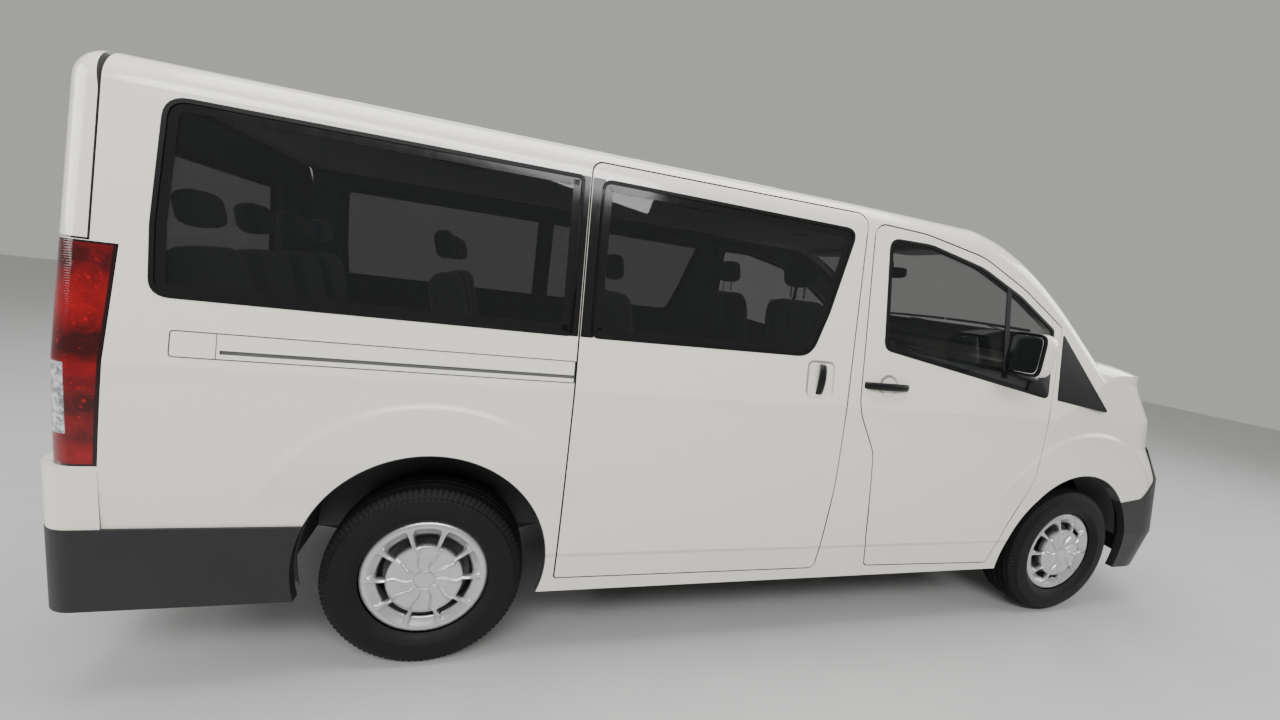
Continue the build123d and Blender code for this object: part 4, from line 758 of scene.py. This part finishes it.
# Part, finish, slot, distance behind the middle, scale of the half sizes, squareness
mirrorParts = (
    ("head", whitePaint, "paint_white", 0.0, (1.0, 1.0, 1.0), 0.45),
    ("frame", satinBlack, "dark_plastic", 0.0345, (0.14, 1.0, 1.0), 0.35),
    ("glass", mirrorGlass, "dark_plastic", 0.0405, (0.06, 0.86, 0.86), 0.3),
)
for sign, side in sides:
    def leanBack(points):
        # the outer end sweeps rearwards and the front face is rounder than the rear
        x = np.where(points[..., 0] < 0, points[..., 0] * mirror["rear"], points[..., 0])
        return np.concatenate([(x - mirror["sweep"] * points[..., 1] * sign)[..., None], points[..., 1:]], -1)

    for part, shade, slot, behind, scale, power in mirrorParts:
        centre = np.array(mirror["at"]) * (1, sign, 1) - (behind, 0, 0)
        half = np.array(mirror["half"]) * scale
        look = (shade, f"{side}_door", slot)
        piece = blob(f"mirror_{part}_{side}", centre, half, power, look, warp=leanBack)
        if part == "frame":
            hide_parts(f"mirror_{side}")
    tube(f"mirror_arm_{side}", np.array(mirror["arm"]) * (1, sign, 1), mirror["armRadius"],
         (bumperPlastic, f"{side}_door", "dark_plastic"), flat=0.7)
print("handles and mirrors made")

# Cover of the sliding door's rail: fine dark joints, an end cap and the steel track in its slot
rail = {"rear": -2.241, "cap": -2.117, "front": -1.054, "low": 1.127, "high": 1.203, "slot": (1.142, 1.154),
        "line": 0.003, "proud": 0.0006, "depth": 0.002, "round": 0.012}
outline = [(u, v, rail["round"] if u < rail["cap"] else r)
           for u, v, r in panel((rail["rear"], rail["low"]), (rail["front"], rail["high"]), 0.002)]
band("rail_joint", outline, -rail["line"] / 2, rail["line"] / 2, rail["proud"], rail["depth"], jointLine)
capX = rail["cap"] - 0.009
capLine = panel((capX - 0.001, rail["low"] + 0.001), (capX + 0.001, rail["high"] - 0.001), 0.001)
plate("rail_cap_joint", capLine, rail["proud"], rail["depth"], jointLine, rings=2, steps=2)
low, high = rail["slot"]
trackLine = panel((rail["cap"], low + 0.0004), (rail["front"], high - 0.0004), 0.001)
plate("rail_track", trackLine, -0.006, 0.003, (railSteel, "body", "dark_plastic"), rings=3, steps=2)
print("rail cover dressed")


# Headlamps: the outer skin of the CAD lamp becomes a thin lens, the rest its dark housing, with bowls between
def skinCopy(name, node, keepOuter, middle, look):
    # merged copy of a CAD node, of which the faces that look away from a middle point are kept or dropped
    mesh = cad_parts[node].data.copy()
    mesh.name = name
    mesh.materials.clear()
    work = bmesh.new()
    work.from_mesh(mesh)
    bmesh.ops.remove_doubles(work, verts=work.verts, dist=1e-5)

    def outer(face):
        point = face.calc_center_median()
        inside = Vector((middle[0], math.copysign(middle[1], point.y), middle[2]))
        return face.normal.dot((point - inside).normalized()) > 0.45

    drop = [face for face in work.faces if outer(face) != keepOuter]
    bmesh.ops.delete(work, geom=drop, context="FACES")
    work.to_mesh(mesh)
    work.free()
    return dress(name, mesh, look, 30.0)


trees = {}


def cast(node, origin, direction):
    # the first place where a line meets a CAD node, with the way it faces there
    if node not in trees:
        work = bmesh.new()
        work.from_mesh(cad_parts[node].data)
        trees[node] = BVHTree.FromBMesh(work)
        work.free()
    return trees[node].ray_cast(Vector(origin), Vector(direction))[:2]


def fromFront(node, y, z):
    # a spot on a CAD node seen from ahead of the van, and the axes that face out of it
    spot, normal = cast(node, (3.2, y, z), (-1, 0, 0))
    if spot is None:
        raise ValueError(f"nothing of {node} lies at {y}, {z}")
    return np.array(spot), np.array(normal.to_track_quat("Z", "Y").to_matrix())


def turnedOn(name, seat, run, look, count=40, closed=False, oval=(1.0, 1.0)):
    # a run of (radius, height) turned about the outward axis of a seat
    spot, axes = seat
    points = lathe(run, count, oval) @ axes.T + spot
    return surface(name, points, look, wrapRows=closed, wrapColumns=True, smooth=35.0)


# Bowls as y, z, radius, each with the glass of its eye
headlamp = {
    "middle": (1.9, 0.35, 0.95), "lens": 0.0025, "bowl": (-0.04, 0.03), "eye": (0.3, -0.028, 0.014),
    "bowls": ((0.54, 1.045, 0.062, clearLens), (0.69, 1.085, 0.056, clearLens),
              (0.8, 1.15, 0.04, amberLens)),
    "ring": ((0.0, -0.012), (0.004, -0.008), (0.008, -0.012), (0.004, -0.016)),
}
lens = skinCopy("headlamp_lens", "headlamps", True, headlamp["middle"], (lensGlass, "body", "lamp_clear"))
addWall(lens, headlamp["lens"])
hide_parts("headlamps")
skinCopy("headlamp_housing", "headlamps", False, headlamp["middle"], (lampBlack, "body", "lamp_clear"))
t = np.linspace(0, 1, 9)
for sign, side in sides:
    for number, (y, z, size, eye) in enumerate(headlamp["bowls"]):
        seat = fromFront("headlamps", sign * y, z)
        deep, rise = headlamp["bowl"]
        turnedOn(f"lamp_bowl_{side}_{number}", seat, np.stack([size * t, deep + rise * t**2], 1), lampChrome)
        ring = np.array(headlamp["ring"]) + (size, 0)
        turnedOn(f"lamp_ring_{side}_{number}", seat, ring, lampChrome, closed=True)
        share, deep, rise = headlamp["eye"]
        bulb = np.stack([size * share * np.sin(t * np.pi / 2), deep + rise * np.cos(t * np.pi / 2)], 1)
        turnedOn(f"lamp_eye_{side}_{number}", seat, bulb, (eye, "body", "lamp_clear"), count=24)
print("headlamps made")

# Bumper: blank covers in the lamps' places, and blank number plates front and rear
bumper = {
    "cover": (0.7, 0.455), "oval": (1.25, 0.85), "disc": ((0.0, 0.003), (0.04, 0.0025), (0.062, 0.001)),
    "recess": ((0.062, 0.001), (0.07, 0.0035), (0.076, 0.001), (0.07, -0.004)),
}
for sign, side in sides:
    y, z = bumper["cover"]
    seat = fromFront("front_bumper", sign * y, z)
    oval = bumper["oval"]
    turnedOn(f"bumper_recess_{side}", seat, bumper["recess"], bodyTrim, closed=True, oval=oval)
    turnedOn(f"bumper_cover_{side}", seat, bumper["disc"], (bumperPlastic, "body", "dark_plastic"), oval=oval)
plateInfo = {"half": (0.26, 0.055), "gap": 0.0004, "bevel": 0.001}
halfY, halfZ = plateInfo["half"]
gap = plateInfo["gap"]
for end, body, rear, front, z in (("front", "body", 2.612 + gap, 2.615 + gap, 0.64),
                                  ("rear", "rear_gate", -2.609 + gap, -2.606, 0.96)):
    low, high = (rear, -halfY, z - halfZ), (front, halfY, z + halfZ)
    box(f"plate_blank_{end}", low, high, (plateShade, body, "paint_white"), plateInfo["bevel"])
print("bumper dressed")

# Wipers lie along the foot of the windscreen
wipers = {"plan": (("right", -0.56, 0.6), ("left", 0.06, 0.62)), "foot": 1.62, "curve": 0.085,
          "half": 0.8, "blade": 0.0075, "arm": 0.008, "pivot": ((0.0, 0.01), (0.014, 0.008), (0.018, -0.004))}


def dropped(x, y, lift):
    # the highest spot of screen, cowl and bonnet under a place, raised by an amount
    spots = [cast(node, (x, y, 3.0), (0, 0, -1))[0] for node in ("windscreen", "cowl_panel", "bonnet")]
    return x, y, max(spot.z for spot in spots if spot) + lift


for side, pivot, reach in wipers["plan"]:
    ys = np.linspace(pivot, pivot + reach, 7)
    bend = wipers["curve"] / wipers["half"] ** 2
    blade = [dropped(wipers["foot"] - bend * y**2, y, 0.01) for y in ys]
    tube(f"wiper_blade_{side}", blade, wipers["blade"], bodyTrim, count=6, flat=1.2)
    arm = [dropped(wipers["foot"] + 0.08 - bend * pivot**2, pivot, 0.014),
           dropped(wipers["foot"] + 0.052, pivot + reach * 0.25, 0.024),
           dropped(wipers["foot"] + 0.016, pivot + reach * 0.5, 0.022)]
    tube(f"wiper_arm_{side}", arm, wipers["arm"], bodyTrim, count=8, flat=0.6)
    turnedOn(f"wiper_pivot_{side}", (np.array(arm[0]), np.eye(3)), wipers["pivot"], bodyTrim, count=20)

# Tailgate: glass border, garnish with the grip, plate lamps, high lamp and wiper
backwards = np.array(((0, 0, -1), (0, 1, 0), (1, 0, 0)), float)
gate = {
    "glass": panel((-0.6, 1.29), (0.6, 1.8), 0.06), "border": 0.04,
    "garnish": ((-0.41, 1.05, 0.02), (-0.42, 1.118, 0.02), (0.42, 1.118, 0.02), (0.41, 1.05, 0.02)),
    "grip": panel((-0.09, 1.046), (0.09, 1.062), 0.006), "plateLamp": (0.15, 1.0385, 0.19, 1.05),
    "stop": panel((-0.15, 1.858), (0.15, 1.886), 0.008),
    "pivot": (0.02, 1.262), "pivotRun": ((0.03, -0.004), (0.028, 0.008), (0.018, 0.014), (0.0, 0.015)),
    "armEnd": (-0.3, 1.335), "armLift": (0.014, 0.018, 0.018, 0.016, 0.014, 0.012), "arm": 0.008,
    "bladeY": (-0.06, -0.48), "bladeZ": (1.322, 1.35), "blade": 0.0065,
}
glassEdge("rear", gate["glass"], gate["border"], trimPlastic, "rear_gate", place=onRear)
look = (whitePaint, "rear_gate", "paint_white")
plate("gate_garnish", gate["garnish"], 0.012, 0.013, look, crown=0.003, place=onRear)
plate("gate_grip", gate["grip"], 0.014, 0.012, gateTrim, place=onRear)
for sign, side in sides:
    near, low, far, high = gate["plateLamp"]
    spots = panel((sign * near, low), (sign * far, high), 0.004)
    plate(f"plate_lamp_{side}", spots, 0.009, 0.008, (clearLens, "rear_gate", "lamp_clear"), place=onRear)
plate("stop_lamp", gate["stop"], 0.004, 0.006, (redGlow, "rear_gate", "lamp_red"), crown=0.002, place=onRear)
pivotSeat = (onRear(*gate["pivot"], 0.004), backwards)
turnedOn("rear_wiper_pivot", pivotSeat, gate["pivotRun"], gateTrim, count=28)
armY, armZ = (np.linspace(start, end, 6) for start, end in zip(gate["pivot"], gate["armEnd"]))
armPath = onRear(armY, armZ, np.array(gate["armLift"]))
tube("rear_wiper_arm", armPath, gate["arm"], gateTrim, count=8, flat=0.6)
bladePath = onRear(np.linspace(*gate["bladeY"], 8), np.linspace(*gate["bladeZ"], 8), 0.0045)
tube("rear_wiper_blade", bladePath, gate["blade"], gateTrim, count=6)
print("tailgate dressed")

# Seats: each cushion, back and headrest starts as a rounded block and is puffed up as cloth
cloth = {"swell": 0.014, "voxel": 0.0145, "frames": 14, "pressure": 4.0, "seam": 0.006, "seamWide": 0.16,
         "fill": 0.6}
seat = {"lean": -0.19, "restPower": 0.45, "posts": (-0.06, 0.06), "gap": 0.012}
frontSeats = {"x": (0.47, 0.172, 0.128), "z": (0.893, 1.25, 1.652), "y": (0.41, -0.43), "channels": 3,
              "cushion": (0.262, 0.24, 0.058), "back": (0.062, 0.232, 0.285), "rest": (0.04, 0.118, 0.066),
              "post": ((0.132, 1.53), (0.128, 1.61))}
# Rows: x of the back, middle, whole width, offsets of the headrests
rowPlan = ((-0.76, 0.18, 1.25, (-0.42, 0.0, 0.42)), (-1.54, 0.18, 1.25, (-0.42, 0.0, 0.42)),
           (-2.29, 0.0, 1.6, (-0.6, -0.2, 0.2, 0.6)))
rowSeats = {"x": (0.3, 0.01, -0.042), "z": (0.928, 1.21, 1.566), "cushion": (0.258, 0.056),
            "back": (0.056, 0.25), "rest": (0.038, 0.112, 0.06)}


def places(data):
    # the places of a mesh's vertices as one flat array
    flat = np.empty(len(data.vertices) * 3)
    data.vertices.foreach_get("co", flat)
    return flat.reshape(-1, 3)


def puffed(name, centre, half, lean=0.0, power=0.32, channels=0):
    # rounded block, remeshed, swelled by cloth pressure and smoothed once; seams are pressed in afterwards
    piece = blob(name, (0, 0, 0), half, power, (seatCloth, "body", "seat_fabric"), rows=26, columns=44)
    points = places(piece.data)
    bpy.context.view_layer.objects.active = piece
    remesh = piece.modifiers.new("remesh", "REMESH")
    remesh.mode, remesh.voxel_size = "VOXEL", cloth["voxel"]
    bpy.ops.object.modifier_apply(modifier="remesh")
    start = places(piece.data)
    wrap = piece.modifiers.new("cloth", "CLOTH")
    wrap.settings.use_pressure, wrap.settings.uniform_pressure_force = True, cloth["pressure"]
    wrap.settings.effector_weights.gravity = 0.0
    for step in range(1, cloth["frames"] + 1):
        bpy.context.scene.frame_set(step)
    move = places(piece.evaluated_get(bpy.context.evaluated_depsgraph_get()).data) - start
    piece.modifiers.remove(wrap)
    bpy.context.scene.frame_set(1)
    size = np.linalg.norm(move, axis=1, keepdims=True)
    points = start + move * np.minimum(1.0, cloth["swell"] / np.maximum(size, 1e-9))
    # sewn channels across the width, deepest in the middle of the face that is sat on
    if channels:
        axis = 2 if lean == 0 else 0
        groove = np.exp(-(np.cos(points[:, 1] / half[1] * channels * np.pi / 2) / cloth["seamWide"]) ** 2)
        nearness = np.clip(np.abs(points[:, axis]) / half[axis], 0, 1)
        points[:, axis] -= np.sign(points[:, axis]) * groove * nearness * cloth["seam"]
    points = points @ np.array(Matrix.Rotation(lean, 3, "Y")).T + np.asarray(centre)
    mesh = piece.data
    mesh.vertices.foreach_set("co", points.ravel())
    mesh.update()
    mesh.polygons.foreach_set("use_smooth", np.ones(len(mesh.polygons), bool))
    finer = piece.modifiers.new("finer", "SUBSURF")
    finer.levels = finer.render_levels = 1
    return piece


lean, restPower = seat["lean"], seat["restPower"]
(cushionX, backX, restX), (cushionZ, backZ, restZ) = frontSeats["x"], frontSeats["z"]
for y, side in zip(frontSeats["y"], ("left", "right")):
    channels, half = frontSeats["channels"], frontSeats["cushion"]
    puffed(f"seat_cushion_{side}", (cushionX, y, cushionZ), half, channels=channels)
    puffed(f"seat_back_{side}", (backX, y, backZ), frontSeats["back"], lean=lean, channels=channels)
    puffed(f"head_rest_{side}", (restX, y, restZ), frontSeats["rest"], lean=lean, power=restPower)
    for number, post in enumerate(seat["posts"]):
        run = [(x, y + post, z) for x, z in frontSeats["post"]]
        tube(f"rest_post_{side}_{number}", run, 0.006, (chrome, "body", "seat_fabric"), up=(0, 1, 0))
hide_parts("front_seats")
for row, (rowX, middle, wide, rests) in enumerate(rowPlan):
    each = wide / len(rests)
    half = each / 2 - seat["gap"]
    (cushionHalf, cushionHigh), (backHalf, backHigh) = rowSeats["cushion"], rowSeats["back"]
    cushionX, backX, restX = (rowX + ahead for ahead in rowSeats["x"])
    cushionZ, backZ, restZ = rowSeats["z"]
    for number, offset in enumerate(rests):
        y = middle + (number - (len(rests) - 1) / 2) * each
        tag = f"{row}_{number}"
        size = (cushionHalf, half, cushionHigh)
        puffed(f"row_cushion_{tag}", (cushionX, y, cushionZ), size)
        puffed(f"row_back_{tag}", (backX, y, backZ), (backHalf, half, backHigh), lean=lean)
        spot = (restX, middle + offset, restZ)
        puffed(f"row_rest_{tag}", spot, rowSeats["rest"], lean=lean, power=restPower)
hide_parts("rear_seats")
print("seats made")

# Steering wheel: a grip round a rim, three spokes and a bare hub pad, square to the column
steer = {
    "at": (0.955, 0.4, 1.165), "tilt": 38.0, "radius": 0.185, "grip": 0.0145, "spoke": (0.02, 0.35),
    "spokes": (0.12, math.pi - 0.12, -math.pi / 2), "hub": 0.066, "hubOval": (1.15, 0.9),
    "hubBack": ((0.062, -0.034), (0.034, -0.038), (0.0, -0.038)),
}
tilt = math.radians(steer["tilt"])
column, level = np.array((-math.cos(tilt), 0.0, math.sin(tilt))), np.array((0.0, 1.0, 0.0))
steerAxes = np.stack([level, np.cross(column, level), column], 1)


def onSteer(points):
    # places in the wheel's own plane turned and moved to the column's end
    return points @ steerAxes.T + np.array(steer["at"])


ringPath = np.append(circle(steer["radius"], 72), np.zeros((72, 1)), 1)
ringGrid = along(ringPath, circle(steer["grip"], 14), close=True)
piece = surface("steering_ring", onSteer(ringGrid), handRim, wrapRows=True, wrapColumns=True)
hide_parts("steering_wheel")
t = np.linspace(0.045, steer["radius"] - 0.006, 8)
for number, a in enumerate(steer["spokes"]):
    path = np.stack([np.cos(a) * t, np.sin(a) * t, -0.028 + 0.026 * ((t - 0.045) / 0.134) ** 1.5], 1)
    thick, flat = steer["spoke"]
    grid = along(path, circle(thick, 12, flat))
    surface(f"steering_spoke_{number}", onSteer(grid), handRim, wrapColumns=True, caps=True)
bow = np.linspace(0, 1, 9) * np.pi / 2
hubRun = np.stack([steer["hub"] * np.sin(bow) ** 0.6, -0.014 + 0.014 * np.cos(bow)], 1)
hubRun = np.concatenate([hubRun, steer["hubBack"]])
turnedOn("steering_hub", (np.array(steer["at"]), steerAxes), hubRun, handRim, oval=steer["hubOval"])

# Dashboard pieces: instrument hood, centre stack with a blank screen, vents and two knobs
dash = {"vents": ((0.64, 1.12), (-0.64, 1.12), (0.165, 1.17), (-0.165, 1.17)),
        "ventHalf": (0.045, 0.028), "knobs": (-0.034, 0.034),
        "knob": ((0.022, -0.004), (0.02, 0.012), (0.0, 0.014))}
box("instrument_hood", (1.06, 0.25, 1.17), (1.24, 0.55, 1.235), cabinBlock, 0.022)
box("centre_screen", (1.068, -0.11, 1.12), (1.11, 0.11, 1.232), (blackGloss, "body", "cabin_plastic"), 0.006)
box("centre_controls", (1.062, -0.1, 1.0), (1.1, 0.1, 1.108), cabinBlock, 0.008)
for number, (y, z) in enumerate(dash["vents"]):
    halfY, halfZ = dash["ventHalf"]
    box(f"air_vent_{number}", (1.074, y - halfY, z - halfZ), (1.11, y + halfY, z + halfZ), cabinTrim, 0.005)
for number, y in enumerate(dash["knobs"]):
    knobSeat = (np.array((1.062, y, 1.03)), backwards)
    turnedOn(f"control_knob_{number}", knobSeat, dash["knob"], cabinTrim, count=24)

# Roof lining: hangs just below the roof and falls as the square of the distance from the middle
lining = {"stations": (-2.44, 0.1, 0.76, 0.88), "heights": (1.93, 1.916, 1.898, 1.885),
          "half": 0.7, "fall": 0.0107, "wall": 0.003}
spanX = np.linspace(lining["stations"][0], lining["stations"][-1], 30)[:, None]
spanY = np.linspace(-lining["half"], lining["half"], 15)[None]
heights = np.interp(spanX, lining["stations"], lining["heights"])
heights = heights - lining["fall"] * (spanY / lining["half"]) ** 2
liningGrid = np.stack(np.broadcast_arrays(spanX, spanY, heights), -1)
addWall(surface("roof_lining", liningGrid, (roofCloth, "body", "cabin_plastic")), lining["wall"], 0.0)

# Inner mirror, sun visors, grab handles and the roof's lamps
cabin = {
    "mirror": (1.06, 0.0, 1.77), "mirrorHalf": (0.016, 0.12, 0.034),
    "mirrorArm": ((1.062, 0.0, 1.79), (1.055, 0.0, 1.83), (1.03, 0.0, 1.858)),
    "visor": (0.88, 0.4, 1.868), "visorHalf": (0.085, 0.2, 0.009), "grabX": (-0.6, -1.5),
    "grabY": 0.775, "grab": 0.01, "lampX": (0.35, -0.9), "lampHalf": (0.06, 0.045),
    "grabRun": ((-0.09, 0.0, 1.852), (-0.08, 0.03, 1.838), (0.0, 0.038, 1.834), (0.08, 0.03, 1.838),
                (0.09, 0.0, 1.852)),
}
blob("inner_mirror", cabin["mirror"], cabin["mirrorHalf"], 0.5, cabinTrim)
tube("inner_mirror_arm", cabin["mirrorArm"], 0.007, cabinTrim, up=(0, 1, 0))
for sign, side in sides:
    visor = np.array(cabin["visor"]) * (1, sign, 1)
    blob(f"sun_visor_{side}", visor, cabin["visorHalf"], 0.3, (roofCloth, "body", "cabin_plastic"))
    for number, x in enumerate(cabin["grabX"]):
        path = [(x + ahead, sign * (cabin["grabY"] - inward), z) for ahead, inward, z in cabin["grabRun"]]
        tube(f"grab_handle_{side}_{number}", path, cabin["grab"], cabinBlock, count=10)
for number, x in enumerate(cabin["lampX"]):
    z, (halfX, halfY) = 1.905 - 0.004 * number, cabin["lampHalf"]
    low, high = (x - halfX, -halfY, z), (x + halfX, halfY, z + 0.016)
    box(f"roof_lamp_{number}", low, high, (clearLens, "body", "cabin_plastic"))
print("cabin made")


# Camera at the photograph's viewing angle
view = {"at": (-1.3371, -2.7114, 1.5129), "yaw": 16.54, "pitch": 8.86, "roll": 7.29, "focal": 500.8,
        "width": 1280}
yaw, pitch, roll = (math.radians(view[key]) for key in ("yaw", "pitch", "roll"))
forward = Vector((math.sin(yaw) * math.cos(pitch), math.cos(yaw) * math.cos(pitch), -math.sin(pitch)))
across = Vector((math.cos(yaw), -math.sin(yaw), 0.0))
above = across.cross(forward)
right = across * math.cos(roll) + above * math.sin(roll)
up = above * math.cos(roll) - across * math.sin(roll)
camera = bpy.data.objects.new("camera", bpy.data.cameras.new("camera"))
camera.data.lens = view["focal"] / view["width"] * camera.data.sensor_width
camera.data.clip_end = 60.0
camera.matrix_world = Matrix.Translation(view["at"]) @ Matrix((right, up, -forward)).transposed().to_4x4()
bpy.context.scene.collection.objects.link(camera)
bpy.context.scene.camera = camera

# Pale floor and soft studio light
stage = {"half": 16.0, "pale": (0.5, 0.5, 0.495), "dark": (0.44, 0.44, 0.44),
         "air": (0.86, 0.85, 0.83, 1.0)}
floorMesh = bpy.data.meshes.new("studioFloor")
ends = [(u * stage["half"], v * stage["half"], 0) for u, v in ((-1, -1), (1, -1), (1, 1), (-1, 1))]
floorMesh.from_pydata(ends, [], [(0, 1, 2, 3)])
floor = bpy.data.objects.new("studioFloor", floorMesh)
bpy.context.scene.collection.objects.link(floor)
floorShade = Shade("studioFloor", Roughness=0.3)
floorShade.feed("Base Color", floorShade.mix(floorShade.noise(3.0), stage["dark"], stage["pale"]))
floorMesh.materials.append(floorShade.material)

# Lights: name, place, aim, width, depth, power
lights = (
    ("keyLight", (-2.0, -6.0, 5.5), (0.0, 0.0, 0.9), 7.0, 1.6, 420.0),
    ("topLight", (0.0, -0.5, 6.5), (0.0, 0.0, 0.0), 9.0, 4.0, 480.0),
    ("backLight", (0.0, 7.0, 4.0), (0.0, 0.0, 1.0), 8.0, 3.0, 300.0),
    ("noseLight", (7.5, -2.0, 3.5), (1.5, 0.0, 0.8), 4.0, 3.0, 200.0),
    ("tailLight", (-7.5, -2.0, 3.5), (-1.5, 0.0, 0.8), 4.0, 3.0, 200.0),
)
for name, at, aim, width, depth, power in lights:
    lamp = bpy.data.lights.new(name, "AREA")
    lamp.shape, lamp.size, lamp.size_y, lamp.energy = "RECTANGLE", width, depth, power
    holder = bpy.data.objects.new(name, lamp)
    holder.location = at
    holder.rotation_euler = (Vector(aim) - Vector(at)).to_track_quat("-Z", "Y").to_euler()
    bpy.context.scene.collection.objects.link(holder)
world = bpy.data.worlds.new("studioAir")
world.use_nodes = True
air = world.node_tree.nodes["Background"]
air.inputs[0].default_value = stage["air"]
air.inputs[1].default_value = 0.5
bpy.context.scene.world = world
print("camera, floor and light set")
